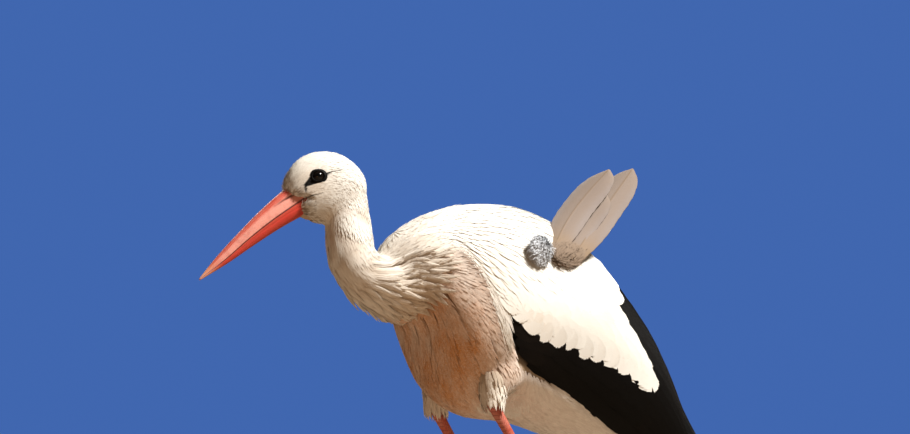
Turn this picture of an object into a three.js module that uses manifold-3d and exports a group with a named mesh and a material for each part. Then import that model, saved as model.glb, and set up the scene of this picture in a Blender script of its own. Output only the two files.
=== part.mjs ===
// White stork, life size, standing with a bent neck and its bill pointing down.
// Millimetres, +Z up, floor at Z 0. The bird faces -X and its left side faces -Y.
import * as THREE from 'three';
import { mergeVertices } from 'three/addons/utils/BufferGeometryUtils.js';
import Module from 'manifold-3d';

const wasm = await Module();
wasm.setup();

// Driving dimensions
const GAP = 0.3; // left between two pieces that touch
const FLOOR_REACH = 400; // half side of the block that trims the soles
const HEAD_YAW = 14; // degrees that the head turns to the bird's right
const HEAD_PLACE = [-65.6, 12]; // where the head's own plane stands, X and Y
const EYE_RADIUS = 8.5;
const EYE_BACK = -36; // along the head's plane, forward is negative
const EYE_HEIGHT = 591;
const EYE_OUT = 16.3; // eyeball centre from the head's plane
const COVERT_DEPTH = 9; // the plumage of the folded wing over the trunk
const LEG_OUT = 60; // the leg from the middle of the bird
const SHIN_TOP = [84, 343];
const HEEL = [158, 230];
const FOOT = [158, 13];
const HEEL_RADIUS = 9.5;
const SHANK_RADIUS = 5.2;
const TOE_RADIUS = 5.6;
const SOLE_TRIM = 1.3; // how much of each toe's underside is flat
const TOE_ROOT = 5; // where a toe starts, from the middle of the foot
const CLAW_LENGTH = 11;
const VANE_THICKNESS = 1.1;
const BILL_LIFT = 0.3; // each half of the bill from the line where they meet
const SIDES = { left: -1, right: 1 };

// The bird's outline with its wings folded, as stations from the neck's root to
// the wing tips: a point on the back, a point on the belly and the half width.
const OUTLINE = [
  { back: [-30, 509], belly: [3, 444], half: 35 },
  { back: [-5, 541], belly: [25, 417], half: 58 },
  { back: [42, 567], belly: [36, 380], half: 80 },
  { back: [92, 580], belly: [54, 347], half: 95 },
  { back: [150, 579], belly: [90, 329], half: 102 },
  { back: [208, 558], belly: [150, 324], half: 101 },
  { back: [264, 517], belly: [220, 306], half: 92 },
  { back: [311, 464], belly: [284, 284], half: 78 },
  { back: [348, 396], belly: [340, 260], half: 62 },
  { back: [392, 324], belly: [398, 230], half: 46 },
  { back: [452, 250], belly: [460, 192], half: 32 },
  { back: [516, 183], belly: [522, 156], half: 19 },
  { back: [552, 151], belly: [554, 145], half: 7 },
];
// For the same stations from the second on: the folded wing's upper edge, the
// line where white meets black, and its lower edge, in degrees from the back.
const WING_EDGES = [
  [30, 36, 38],
  [24, 62, 64],
  [16, 95, 96],
  [8, 105, 124],
  [3, 110, 134],
  [2, 107, 142],
  [2, 99, 146],
  [2, 92, 149],
  [3, 92, 151],
  [4, 92, 152],
  [6, 92, 152],
  [10, 92, 150],
];
const TRUNK_END = 8.9; // the trunk's last station
const RUMP_TAPER = 26; // how far the trunk draws in at its end
const [UPPER, BORDER, LOWER] = [0, 1, 2]; // the three lines of WING_EDGES
// The layers of a folded wing: first and last station, the line it reaches down
// to, how far it lies under the outline, its depth in front and behind, its grid.
const WING_LAYERS = {
  shield: { from: 1, to: 6.75, down: BORDER, under: 0, depth: [12, 12], grid: [12, 5], look: 'white' },
  flight: { from: 3.1, to: 8.7, down: LOWER, under: 2.5, depth: [9, 5], grid: [11, 6], look: 'black' },
  tip: { from: 8.72, to: 12, down: LOWER, under: 3, depth: [3.5, 3.5], grid: [6, 4], look: 'black' },
};

// Neck: centre, half size along X and half size across, from the head down.
const NECK = [
  { at: [-61, 13, 585], along: 21, across: 20 },
  { at: [-62.5, 12, 556], along: 26.6, across: 25 },
  { at: [-62, 9, 526], along: 28.2, across: 26 },
  { at: [-59.5, 5.5, 502], along: 28.5, across: 28 },
  { at: [-45, 2.5, 484], along: 30, across: 32 },
  { at: [-21, 0.5, 475], along: 34, across: 38 },
  { at: [8, 0, 471], along: 43, across: 48 },
];
const NECK_TOP = 0.04; // where the neck starts inside the head
const NECK_SPLIT = 0.5; // share of the neck above its cut
const NECK_CUT = 0.0015; // the share that the cut takes

// Head, in its own plane: a point on the crown line, a point on the throat
// line, and the half width. The first number of a point is along the head.
const HEAD = [
  { top: [-72, 580], low: [-54, 546.5], half: 10.5 },
  { top: [-70.5, 592], low: [-48, 543.5], half: 15.5 },
  { top: [-62, 606.5], low: [-39, 541.5], half: 19.8 },
  { top: [-50, 617.5], low: [-29, 541], half: 22.8 },
  { top: [-32, 624], low: [-15, 541], half: 25.2 },
  { top: [-9, 622.5], low: [0, 548], half: 26.2 },
  { top: [10, 611], low: [12, 560], half: 23.5 },
  { top: [21, 595], low: [22, 575], half: 14 },
];
// Bill: the ridge, the line where the two halves meet, the lower edge and the
// half width, from the face to the tip, in the head's plane.
const BILL = [
  { ridge: [-62, 584], cut: [-45, 570.5], keel: [-39, 554], half: 11.5 },
  { ridge: [-73, 576], cut: [-58, 561.5], keel: [-48, 549.8], half: 11.3 },
  { ridge: [-97, 553.5], cut: [-86.5, 540.5], keel: [-76, 532.9], half: 9.4 },
  { ridge: [-122, 527], cut: [-112.5, 518.7], keel: [-105, 512.8], half: 7 },
  { ridge: [-147, 498.5], cut: [-139, 494.2], keel: [-135, 491], half: 4.4 },
  { ridge: [-166.5, 473], cut: [-166.5, 472.1], keel: [-165.5, 471.2], half: 1.1 },
];
// Tail, lying under the wing tips: top and under side with the half width.
const TAIL = [
  { top: [326, 294], low: [320, 273], half: 26 },
  { top: [372, 258], low: [365, 238], half: 33 },
  { top: [428, 214], low: [422, 200], half: 38 },
  { top: [480, 172], low: [477, 163], half: 41 },
  { top: [514, 145], low: [513, 140.5], half: 31 },
];
// The back feathers that stand up in the wind: root, tip, half width, how far
// they face forwards in degrees, and how far the shaft bows.
const LIFTED = [
  { root: [149, -88, 515], tip: [247, -62, 623], half: 20, lean: 38, bow: 11 },
  { root: [162, -89, 511], tip: [240, -64, 594], half: 18, lean: 32, bow: 6 },
  { root: [176, -89, 510], tip: [284, -58, 628], half: 20, lean: 26, bow: 3 },
];
const DOWN_TUFT = { at: [128, -94.5, 514], size: [13, 8.5, 16] };
// Toes: heading from straight ahead, length without the claw, thickness share.
const TOES = {
  middle: { heading: 2, length: 74, stout: 1 },
  inner: { heading: -27, length: 60, stout: 0.92 },
  outer: { heading: 30, length: 64, stout: 0.92 },
  hind: { heading: 176, length: 24, stout: 0.82 },
};

const COLOURS = {
  white: { color: 0xf1ece0, roughness: 0.85, metalness: 0 },
  cream: { color: 0xe8dcc2, roughness: 0.85, metalness: 0 },
  black: { color: 0x17150f, roughness: 0.6, metalness: 0 },
  shaft: { color: 0xd9d0c2, roughness: 0.7, metalness: 0 },
  bill: { color: 0xd2452f, roughness: 0.45, metalness: 0 },
  leg: { color: 0xcf5a48, roughness: 0.6, metalness: 0 },
  claw: { color: 0x2a211d, roughness: 0.5, metalness: 0 },
  eye: { color: 0x0c0a09, roughness: 0.08, metalness: 0 },
};

// Small helpers
const degrees = THREE.MathUtils.degToRad;
const bird = new THREE.Group();

function curveThrough(points) {
  return new THREE.CatmullRomCurve3(points, false, 'catmullrom', 0.5);
}

// A curve through one number triple for each station, read by station number.
function track(triples) {
  const curve = curveThrough(triples.map((p) => new THREE.Vector3(...p)));
  return (station) => curve.getPoint(THREE.MathUtils.clamp(station / (triples.length - 1), 0, 1));
}

// One number for each station, blended in between.
function blend(numbers) {
  const read = track(numbers.map((n) => [n, 0, 0]));
  return (station) => read(station).x;
}

function shaped(base, place) {
  base.deleteAttribute('normal');
  const position = base.attributes.position;
  const uv = base.attributes.uv;
  for (let i = 0; i < position.count; i += 1) {
    const p = place(position.getX(i), position.getY(i), position.getZ(i), uv.getX(i), uv.getY(i));
    position.setXYZ(i, p.x, p.y, p.z);
  }
  base.deleteAttribute('uv');
  return mergeVertices(base, 1e-3);
}

function signedVolume(geometry) {
  const index = geometry.index.array;
  const at = geometry.attributes.position.array;
  let sum = 0;
  const [a, b, c] = [new THREE.Vector3(), new THREE.Vector3(), new THREE.Vector3()];
  for (let i = 0; i < index.length; i += 3) {
    a.fromArray(at, 3 * index[i]);
    b.fromArray(at, 3 * index[i + 1]);
    c.fromArray(at, 3 * index[i + 2]);
    sum += a.dot(b.cross(c));
  }
  return sum / 6;
}

function solidOf(geometry) {
  const vertProperties = new Float32Array(geometry.attributes.position.array);
  const triVerts = new Uint32Array(geometry.index.array);
  if (signedVolume(geometry) < 0) {
    for (let i = 0; i < triVerts.length; i += 3) {
      [triVerts[i], triVerts[i + 1]] = [triVerts[i + 1], triVerts[i]];
    }
  }
  return new wasm.Manifold(new wasm.Mesh({ numProp: 3, vertProperties, triVerts }));
}

function geometryOf(solid) {
  const mesh = solid.getMesh();
  const geometry = new THREE.BufferGeometry();
  geometry.setAttribute('position', new THREE.BufferAttribute(new Float32Array(mesh.vertProperties), 3));
  geometry.setIndex(new THREE.BufferAttribute(new Uint32Array(mesh.triVerts), 1));
  return geometry;
}

// A cut can leave slivers beside the piece: the largest body is the piece.
function largest(solid) {
  return solid.decompose().sort((a, b) => b.volume() - a.volume())[0];
}

function cutBy(solid, ...cutters) {
  return largest(cutters.reduce((rest, cutter) => rest.subtract(cutter), solid));
}

function add(name, solid, look) {
  const mesh = new THREE.Mesh(geometryOf(solid), new THREE.MeshStandardMaterial(COLOURS[look]));
  mesh.name = name;
  bird.add(mesh);
}

// A round body along a row of sections. A sphere's own grid is laid over them:
// its poles close the two flat ends. sectionAt gives centre, across and up.
function roundBody(sectionAt, sides, rings, grow = 0) {
  const base = new THREE.SphereGeometry(1, sides, rings);
  return solidOf(shaped(base, (x, y, z, u, v) => {
    const ring = (1 - v) * rings;
    const along = THREE.MathUtils.clamp((ring - 1) / (rings - 2), 0, 1);
    const open = ring > 0.5 && ring < rings - 0.5 ? 1 : 0;
    const angle = 2 * Math.PI * u;
    const { centre, across, up } = sectionAt(along, angle);
    return centre.clone()
      .addScaledVector(across.clone().normalize(), open * Math.sin(angle) * (across.length() + grow))
      .addScaledVector(up.clone().normalize(), open * Math.cos(angle) * (up.length() + grow));
  }));
}

// A thin curved body: a box's own grid is laid between two surfaces.
function sheetBody(place, lengthSteps, widthSteps) {
  const base = new THREE.BoxGeometry(1, 1, 1, lengthSteps, widthSteps, 1);
  return solidOf(shaped(base, (x, y, z) => place(x + 0.5, y + 0.5, z + 0.5)));
}

// The outline as smooth tracks
const backAt = track(OUTLINE.map((s) => [s.back[0], 0, s.back[1]]));
const bellyAt = track(OUTLINE.map((s) => [s.belly[0], 0, s.belly[1]]));
const halfAt = blend(OUTLINE.map((s) => s.half));
const edgesAt = track(WING_EDGES);

function wingEdge(station, which) {
  return degrees(edgesAt(station - 1).getComponent(which));
}

// A point on the outline at a station and an angle from the back, moved inwards.
function outlinePoint(station, angle, inset, side) {
  const back = backAt(station);
  const belly = bellyAt(station);
  const up = back.clone().sub(belly).multiplyScalar(0.5);
  const deep = Math.max(up.length() - inset, 0.6);
  const wide = Math.max(halfAt(station) - inset, 0.6);
  const point = back.add(belly).multiplyScalar(0.5);
  point.addScaledVector(up.normalize(), deep * Math.cos(angle));
  point.y += side * wide * Math.sin(angle);
  return point;
}

// How far the trunk draws in to make room for the folded wing.
function wingRoom(station, angle) {
  const lower = wingEdge(station, LOWER);
  const under = THREE.MathUtils.smoothstep(lower + 0.12 - angle, 0, 0.3);
  const front = THREE.MathUtils.smoothstep(station, 0.9, 2.2);
  return COVERT_DEPTH * under * front;
}

function trunkSolid(grow) {
  const rings = 21;
  return solidOf(shaped(new THREE.SphereGeometry(1, 24, rings), (x, y, z, u, v) => {
    const ring = (1 - v) * rings;
    const along = THREE.MathUtils.clamp((ring - 1) / (rings - 2), 0, 1);
    const station = TRUNK_END * along;
    const angle = 2 * Math.PI * Math.min(u, 1 - u);
    const side = u < 0.5 ? -1 : 1;
    const open = ring > 0.5 && ring < rings - 0.5;
    if (!open) {
      return backAt(station).add(bellyAt(station)).multiplyScalar(0.5);
    }
    const taper = RUMP_TAPER * THREE.MathUtils.smoothstep(station, 7.2, TRUNK_END);
    return outlinePoint(station, angle, wingRoom(station, angle) + taper - grow, side);
  }));
}

// One layer of a folded wing, grown on every side where it makes room.
function wingLayer(side, layer, grow = 0) {
  return sheetBody((u, v, w) => {
    const station = THREE.MathUtils.lerp(layer.from, layer.to, u) + (u - 0.5) * 0.012 * grow;
    const spread = halfAt(station) + 4;
    const high = wingEdge(station, UPPER) - grow / spread;
    const low = wingEdge(station, layer.down) + grow / spread;
    const thinning = THREE.MathUtils.smoothstep(station, 6, 9);
    const depth = THREE.MathUtils.lerp(layer.depth[0], layer.depth[1], thinning);
    const inset = THREE.MathUtils.lerp(layer.under - grow, layer.under + depth + grow, w);
    return outlinePoint(station, THREE.MathUtils.lerp(high, low, v), inset, side);
  }, ...layer.grid);
}

// Head and bill, worked out upright in the head's plane and turned by its yaw
const headFrame = new THREE.Matrix4().makeRotationZ(-degrees(HEAD_YAW));
headFrame.setPosition(HEAD_PLACE[0], HEAD_PLACE[1], 0);

function inHead(along, height, out) {
  return new THREE.Vector3(along, -out, height).applyMatrix4(headFrame);
}

const headAcross = inHead(0, 0, 1).sub(inHead(0, 0, 0));
const headTop = track(HEAD.map((s) => [s.top[0], 0, s.top[1]]));
const headLow = track(HEAD.map((s) => [s.low[0], 0, s.low[1]]));
const headHalf = blend(HEAD.map((s) => s.half));

function headSolid(grow) {
  return roundBody((along) => {
    const station = along * (HEAD.length - 1);
    const top = headTop(station);
    const low = headLow(station);
    const high = inHead(top.x, top.z, 0);
    const deep = inHead(low.x, low.z, 0);
    return {
      centre: high.clone().add(deep).multiplyScalar(0.5),
      across: headAcross.clone().multiplyScalar(headHalf(station)),
      up: high.clone().sub(deep).multiplyScalar(0.5),
    };
  }, 16, 11, grow);
}

function billSolid(edge) {
  const outer = track(BILL.map((s) => [s[edge][0], 0, s[edge][1]]));
  const cut = track(BILL.map((s) => [s.cut[0], 0, s.cut[1]]));
  const half = blend(BILL.map((s) => s.half));
  return roundBody((along, angle) => {
    const station = along * (BILL.length - 1);
    const rim = outer(station);
    const seam = cut(station);
    const high = inHead(rim.x, rim.z, 0);
    const flat = inHead(seam.x, seam.z, 0);
    const up = high.clone().sub(flat);
    const depth = up.length();
    const towards = up.normalize();
    const outward = Math.cos(angle) > 0;
    return {
      centre: flat.addScaledVector(towards, Math.min(BILL_LIFT, 0.45 * depth)),
      across: headAcross.clone().multiplyScalar(half(station)),
      up: towards.clone().multiplyScalar(outward ? Math.max(depth - BILL_LIFT, 0.3) : 0.12),
    };
  }, 12, 10);
}

function eyeSolid(side, grow) {
  const ball = new THREE.SphereGeometry(EYE_RADIUS + grow, 12, 7);
  const centre = inHead(EYE_BACK, EYE_HEIGHT, side * EYE_OUT);
  return solidOf(shaped(ball, (x, y, z) => new THREE.Vector3(x, y, z).add(centre)));
}

const neckCentre = track(NECK.map((s) => s.at));
const neckAlong = blend(NECK.map((s) => s.along));
const neckAcross = blend(NECK.map((s) => s.across));

function neckSolid(from, to, rings, grow = 0) {
  return roundBody((along) => {
    const station = THREE.MathUtils.lerp(from, to, along) * (NECK.length - 1);
    const ahead = neckCentre(station + 0.05).sub(neckCentre(station - 0.05)).normalize();
    const turn = degrees(HEAD_YAW) * THREE.MathUtils.clamp(1 - station / 4, 0, 1);
    const across = new THREE.Vector3(-Math.sin(turn), -Math.cos(turn), 0);
    across.addScaledVector(ahead, -across.dot(ahead)).normalize();
    const up = ahead.clone().cross(across).normalize();
    return {
      centre: neckCentre(station),
      across: across.multiplyScalar(neckAcross(station)),
      up: up.multiplyScalar(neckAlong(station)),
    };
  }, 14, rings, grow);
}

function tailSolid(grow) {
  const top = track(TAIL.map((s) => [s.top[0], 0, s.top[1]]));
  const low = track(TAIL.map((s) => [s.low[0], 0, s.low[1]]));
  const half = blend(TAIL.map((s) => s.half));
  return roundBody((along) => {
    const station = along * (TAIL.length - 1);
    const up = top(station).sub(low(station)).multiplyScalar(0.5);
    return {
      centre: low(station).add(up),
      across: new THREE.Vector3(0, half(station), 0),
      up,
    };
  }, 12, 8, grow);
}

// A limb of round sections: each has a centre, a radius along X and one across.
function limbSolid(sections, sides, rings, grow = 0) {
  const centre = track(sections.map((s) => s.at));
  const size = track(sections.map((s) => [s.along, s.across, 0]));
  const last = sections.length - 1;
  return roundBody((along) => {
    const station = along * last;
    const ahead = centre(station + 0.02).sub(centre(station - 0.02)).normalize();
    const across = new THREE.Vector3(0, 1, 0).addScaledVector(ahead, -ahead.y).normalize();
    const up = ahead.clone().cross(across);
    return {
      centre: centre(station),
      across: across.multiplyScalar(size(station).y),
      up: up.multiplyScalar(size(station).x),
    };
  }, sides, rings, grow);
}

function legPoint(pair, side, out = LEG_OUT) {
  return [pair[0], side * out, pair[1]];
}

function thighSolid(side) {
  return limbSolid([
    { at: [136, side * 50, 420], along: 40, across: 30 },
    { at: [110, side * 58, 392], along: 35, across: 26 },
    { at: [94, side * 61, 368], along: 24, across: 20 },
    { at: legPoint([86, 350], side), along: 14, across: 13 },
    { at: legPoint([84, 339], side), along: 10, across: 9.5 },
  ], 12, 7);
}

function shinSolid(side, grow = 0) {
  return limbSolid([
    { at: legPoint([SHIN_TOP[0] - 6, SHIN_TOP[1] + 11], side), along: 7.6, across: 6.6 },
    { at: legPoint(SHIN_TOP, side), along: 7.2, across: 6.2 },
    { at: legPoint([114, 298], side), along: 5.9, across: 5.2 },
    { at: legPoint([143, 254], side), along: 6.4, across: 5.8 },
    { at: legPoint([151, 241], side), along: 8.4, across: 7.6 },
    { at: legPoint([156, 233.5], side), along: 8.8, across: 8.2 },
  ], 8, 10, grow);
}

function shankSolid(side, grow = 0) {
  return limbSolid([
    { at: legPoint([HEEL[0], HEEL[1] + 4], side), along: 7.4, across: 6.8 },
    { at: legPoint([HEEL[0] + 0.5, HEEL[1] - 4], side), along: HEEL_RADIUS, across: 8.4 },
    { at: legPoint([HEEL[0] - 0.5, HEEL[1] - 20], side), along: 6.8, across: 6 },
    { at: legPoint([HEEL[0] - 0.5, 160], side), along: SHANK_RADIUS, across: 4.7 },
    { at: legPoint([FOOT[0], 80], side), along: SHANK_RADIUS, across: 4.7 },
    { at: legPoint([FOOT[0], 32], side), along: 6, across: 6.2 },
    { at: legPoint(FOOT, side), along: 9.2, across: 9.6 },
    { at: legPoint([FOOT[0], -2], side), along: 7.6, across: 8.2 },
  ], 8, 13, grow);
}

const underFloor = solidOf(shaped(
  new THREE.BoxGeometry(2 * FLOOR_REACH, 2 * FLOOR_REACH, FLOOR_REACH),
  (x, y, z) => new THREE.Vector3(x, y, z - FLOOR_REACH / 2),
));

// A toe lies along its heading, and its claw goes on from it.
function toePoint(toe, side, reach, height) {
  const heading = degrees(180 - side * toe.heading);
  return [
    FOOT[0] + reach * Math.cos(heading),
    side * LEG_OUT + reach * Math.sin(heading),
    height,
  ];
}

// Toes run flat, so their sections stand upright across the heading.
function digitSolid(sections, sides, rings, grow = 0) {
  const centre = track(sections.map((s) => s.at));
  const radius = blend(sections.map((s) => s.radius));
  const last = sections.length - 1;
  return roundBody((along) => {
    const station = along * last;
    const ahead = centre(last).sub(centre(0)).setZ(0).normalize();
    const across = new THREE.Vector3(-ahead.y, ahead.x, 0);
    return {
      centre: centre(station),
      across: across.multiplyScalar(radius(station)),
      up: new THREE.Vector3(0, 0, radius(station)),
    };
  }, sides, rings, grow);
}

function toeSolid(toe, side, grow = 0) {
  const sections = [];
  const joints = 4;
  for (let i = 0; i <= 2 * joints; i += 1) {
    const share = i / (2 * joints);
    const swell = i % 2 === 0 ? 1 : 0.86;
    const radius = TOE_RADIUS * toe.stout * swell * (1 - 0.36 * share);
    const reach = THREE.MathUtils.lerp(TOE_ROOT, toe.length, share);
    sections.push({ at: toePoint(toe, side, reach, radius - SOLE_TRIM), radius });
  }
  return digitSolid(sections, 7, 10, grow);
}

function clawSolid(toe, side) {
  const radius = TOE_RADIUS * toe.stout * 0.56;
  const sections = [0, 0.4, 0.75, 1].map((share) => {
    const reach = toe.length - 3 + share * (CLAW_LENGTH + 3);
    return {
      at: toePoint(toe, side, reach, (1 - share) * radius * 0.7 + 0.5),
      radius: Math.max(radius * (1 - 0.9 * share * share), 0.5),
    };
  });
  return digitSolid(sections, 6, 5);
}

// A single broad feather, cupped and curved, from its quill to its tip.
function vaneSolid(vane, grow = 0) {
  const root = new THREE.Vector3(...vane.root);
  const tip = new THREE.Vector3(...vane.tip);
  const length = root.distanceTo(tip);
  const ahead = tip.clone().sub(root).normalize();
  const across = new THREE.Vector3(Math.cos(degrees(vane.lean)), -Math.sin(degrees(vane.lean)), 0);
  across.addScaledVector(ahead, -across.dot(ahead)).normalize();
  const out = ahead.clone().cross(across);
  return sheetBody((u, v, w) => {
    const wide = vane.half * (0.3 + 0.7 * Math.sin(Math.PI * Math.min(0.5, 0.1 + 0.9 * u)));
    const tipRound = Math.sqrt(Math.max(1 - Math.max((u - 0.72) / 0.28, 0) ** 2, 0.015));
    const across01 = 2 * v - 1;
    const cup = 5 * across01 * across01 + 7 * Math.sin(Math.PI * u);
    const bow = -vane.bow * Math.sin(Math.PI * u);
    return root.clone()
      .addScaledVector(ahead, u * length)
      .addScaledVector(across, across01 * (wide * tipRound + grow) + bow)
      .addScaledVector(out, cup + (w - 0.5) * (VANE_THICKNESS + 2 * grow));
  }, 7, 3);
}

function tuftSolid(grow) {
  const size = new THREE.Vector3(...DOWN_TUFT.size).addScalar(grow);
  const middle = new THREE.Vector3(...DOWN_TUFT.at);
  const ball = new THREE.SphereGeometry(1, 8, 6);
  return solidOf(shaped(ball, (x, y, z) => new THREE.Vector3(x, y, z).multiply(size).add(middle)));
}

// Trunk and tail
const roomForTrunk = trunkSolid(GAP);
const roomForTail = tailSolid(GAP);
add('trunk', trunkSolid(0), 'white');
add('tail', cutBy(tailSolid(0), roomForTrunk), 'white');

// Neck, head, eyes and bill
const roomForHead = headSolid(GAP);
const roomsForEyes = [eyeSolid(1, GAP), eyeSolid(-1, GAP)];
add('neck_lower', cutBy(neckSolid(NECK_SPLIT, 1, 8), roomForTrunk), 'cream');
add('neck_upper', cutBy(neckSolid(NECK_TOP, NECK_SPLIT - NECK_CUT, 10), roomForHead), 'white');
add('head', cutBy(headSolid(0), ...roomsForEyes), 'white');
add('eye_left', eyeSolid(1, 0), 'eye');
add('eye_right', eyeSolid(-1, 0), 'eye');
add('bill_upper', cutBy(billSolid('ridge'), roomForHead), 'bill');
add('bill_lower', cutBy(billSolid('keel'), roomForHead), 'bill');

// Wings: the white shield overlaps the flight feathers, the tip goes on from them
const wingRooms = {};
for (const [name, side] of Object.entries(SIDES)) {
  const inner = [roomForTrunk, roomForTail];
  const { shield, flight, tip } = WING_LAYERS;
  wingRooms[name] = { shield: wingLayer(side, shield, GAP), flight: wingLayer(side, flight, GAP) };
  add(`wing_${name}_shield`, cutBy(wingLayer(side, shield), ...inner), shield.look);
  add(`wing_${name}_flight`, cutBy(wingLayer(side, flight), wingRooms[name].shield, ...inner), flight.look);
  add(`wing_${name}_tip`, cutBy(wingLayer(side, tip), ...inner), tip.look);
}

// Back feathers raised by the wind, and the down at their roots
const underLifted = [wingRooms.left.shield, roomForTrunk];
add('back_down', cutBy(tuftSolid(0), ...underLifted), 'white');
underLifted.push(tuftSolid(GAP));
LIFTED.forEach((vane, i) => {
  add(`back_feather_${i + 1}`, cutBy(vaneSolid(vane), ...underLifted), 'shaft');
  underLifted.push(vaneSolid(vane, GAP));
});

// Legs and feet
for (const [name, side] of Object.entries(SIDES)) {
  const roomForShank = shankSolid(side, GAP);
  const aboveThigh = [roomForTrunk, wingRooms[name].flight, shinSolid(side, GAP)];
  add(`thigh_${name}`, cutBy(thighSolid(side), ...aboveThigh), 'white');
  add(`shin_${name}`, cutBy(shinSolid(side), roomForTrunk, roomForShank), 'leg');
  add(`shank_${name}`, cutBy(shankSolid(side), underFloor), 'leg');
  const earlier = [roomForShank];
  for (const [digit, toe] of Object.entries(TOES)) {
    add(`toe_${name}_${digit}`, cutBy(toeSolid(toe, side), underFloor, ...earlier), 'leg');
    earlier.push(toeSolid(toe, side, GAP));
    add(`claw_${name}_${digit}`, cutBy(clawSolid(toe, side), underFloor, earlier.at(-1)), 'claw');
  }
}

// The origin stands on the floor under the middle of the bird's own box.
bird.updateMatrixWorld(true);
const box = new THREE.Box3().setFromObject(bird);
bird.position.set(-(box.min.x + box.max.x) / 2, -(box.min.y + box.max.y) / 2, -box.min.z);

export default bird;
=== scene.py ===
"""A life-size white stork with its skin, feathers, bill, eyes and legs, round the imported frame."""
import math
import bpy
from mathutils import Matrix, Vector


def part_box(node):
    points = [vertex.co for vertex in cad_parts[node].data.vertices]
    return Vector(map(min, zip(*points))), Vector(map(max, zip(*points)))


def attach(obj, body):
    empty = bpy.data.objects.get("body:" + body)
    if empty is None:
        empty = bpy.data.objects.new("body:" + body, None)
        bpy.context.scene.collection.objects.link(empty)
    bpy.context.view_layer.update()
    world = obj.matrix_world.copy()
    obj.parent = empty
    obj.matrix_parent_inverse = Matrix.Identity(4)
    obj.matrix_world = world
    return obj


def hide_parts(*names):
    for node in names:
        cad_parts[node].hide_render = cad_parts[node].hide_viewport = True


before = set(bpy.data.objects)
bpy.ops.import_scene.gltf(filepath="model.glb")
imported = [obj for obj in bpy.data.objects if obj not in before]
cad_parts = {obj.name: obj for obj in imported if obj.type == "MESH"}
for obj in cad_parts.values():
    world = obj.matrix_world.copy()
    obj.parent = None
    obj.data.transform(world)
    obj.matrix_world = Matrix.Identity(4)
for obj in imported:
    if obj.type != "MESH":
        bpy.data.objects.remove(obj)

from types import SimpleNamespace

import bpy
import numpy as np
from bpy.props import FloatProperty, FloatVectorProperty, IntProperty, PointerProperty
from mathutils import Vector
from mathutils.bvhtree import BVHTree

bl_info = {
    "name": "White stork",
    "version": (1, 0, 0),
    "blender": (4, 5, 0),
    "location": "3D View > Sidebar > Stork",
    "description": "Builds a life-size white stork, feather by feather, round its packed frame",
    "category": "Add Mesh",
}

# --- The bird's own shape, in millimetres: it faces -X, its left side faces -Y ---
MM = 0.001
SIDES = {"left": -1, "right": 1}
HEAD_YAW = math.radians(14)
HEAD_PLACE = (-65.6, 12.0)
EYE_PLACE = (-36.0, 591.0, 16.3)  # along the head, height, out from its middle
EYE_RADIUS = 8.5
BILL_START = -38  # along the head
HEEL_HEIGHT = 229
FAR = 9.0  # further than any distance it is compared with

# Stations from the neck's root to the wing tips: back X and Z, belly X and Z, half width.
OUTLINE = [
    (-30, 509, 3, 444, 35), (-5, 541, 25, 417, 58), (42, 567, 36, 380, 80),
    (92, 580, 54, 347, 95), (150, 579, 90, 329, 102), (208, 558, 150, 324, 101),
    (264, 517, 220, 306, 92), (311, 464, 284, 284, 78), (348, 396, 340, 260, 62),
    (392, 324, 398, 230, 46), (452, 250, 460, 192, 32), (516, 183, 522, 156, 19),
    (552, 151, 554, 145, 7),
]
# From station 1 on, in degrees from the back: the folded wing's upper edge, the line
# where white meets black, and the lower edge.
UPPER, BORDER, LOWER = range(3)
WING_EDGES = [
    (30, 36, 38), (24, 62, 64), (16, 95, 96), (8, 105, 124), (3, 110, 134), (2, 107, 142),
    (2, 99, 146), (2, 92, 149), (3, 92, 151), (4, 92, 152), (6, 92, 152), (10, 92, 150),
]
TRUNK_END = 8.9
RUMP_TAPER = 26
# Neck: centre, half size along the body and half size across, from the head down.
NECK = [
    (-61, 13, 585, 21, 20), (-62.5, 12, 556, 26.6, 25), (-62, 9, 526, 28.2, 26),
    (-59.5, 5.5, 502, 28.5, 28), (-45, 2.5, 484, 30, 32), (-21, 0.5, 475, 34, 38),
    (8, 0, 471, 43, 48),
]
# Head, in its own plane: crown line, throat line, half width.
HEAD = [
    (-72, 580, -54, 546.5, 10.5), (-70.5, 592, -48, 543.5, 15.5), (-62, 606.5, -39, 541.5, 19.8),
    (-50, 617.5, -29, 541, 22.8), (-32, 624, -15, 541, 25.2), (-9, 622.5, 0, 548, 26.2),
    (10, 611, 12, 560, 23.5), (21, 595, 22, 575, 14),
]
# Bill, in the head's plane: ridge, the line where its halves meet, keel, half width.
BILL = [
    (-62, 584, -45, 570.5, -39, 554, 11.5), (-73, 576, -58, 561.5, -48, 549.8, 11.3),
    (-97, 553.5, -86.5, 540.5, -76, 532.9, 9.4), (-122, 527, -112.5, 518.7, -105, 512.8, 7),
    (-147, 498.5, -139, 494.2, -135, 491, 4.4),
    (-166.5, 473, -166.5, 472.1, -165.5, 471.2, 1.1),
]
# Tail under the wing tips: top X and Z, under side X and Z, half width.
TAIL = [
    (326, 294, 320, 273, 26), (372, 258, 365, 238, 33), (428, 214, 422, 200, 38),
    (480, 172, 477, 163, 41), (514, 145, 513, 140.5, 31),
]
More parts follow.
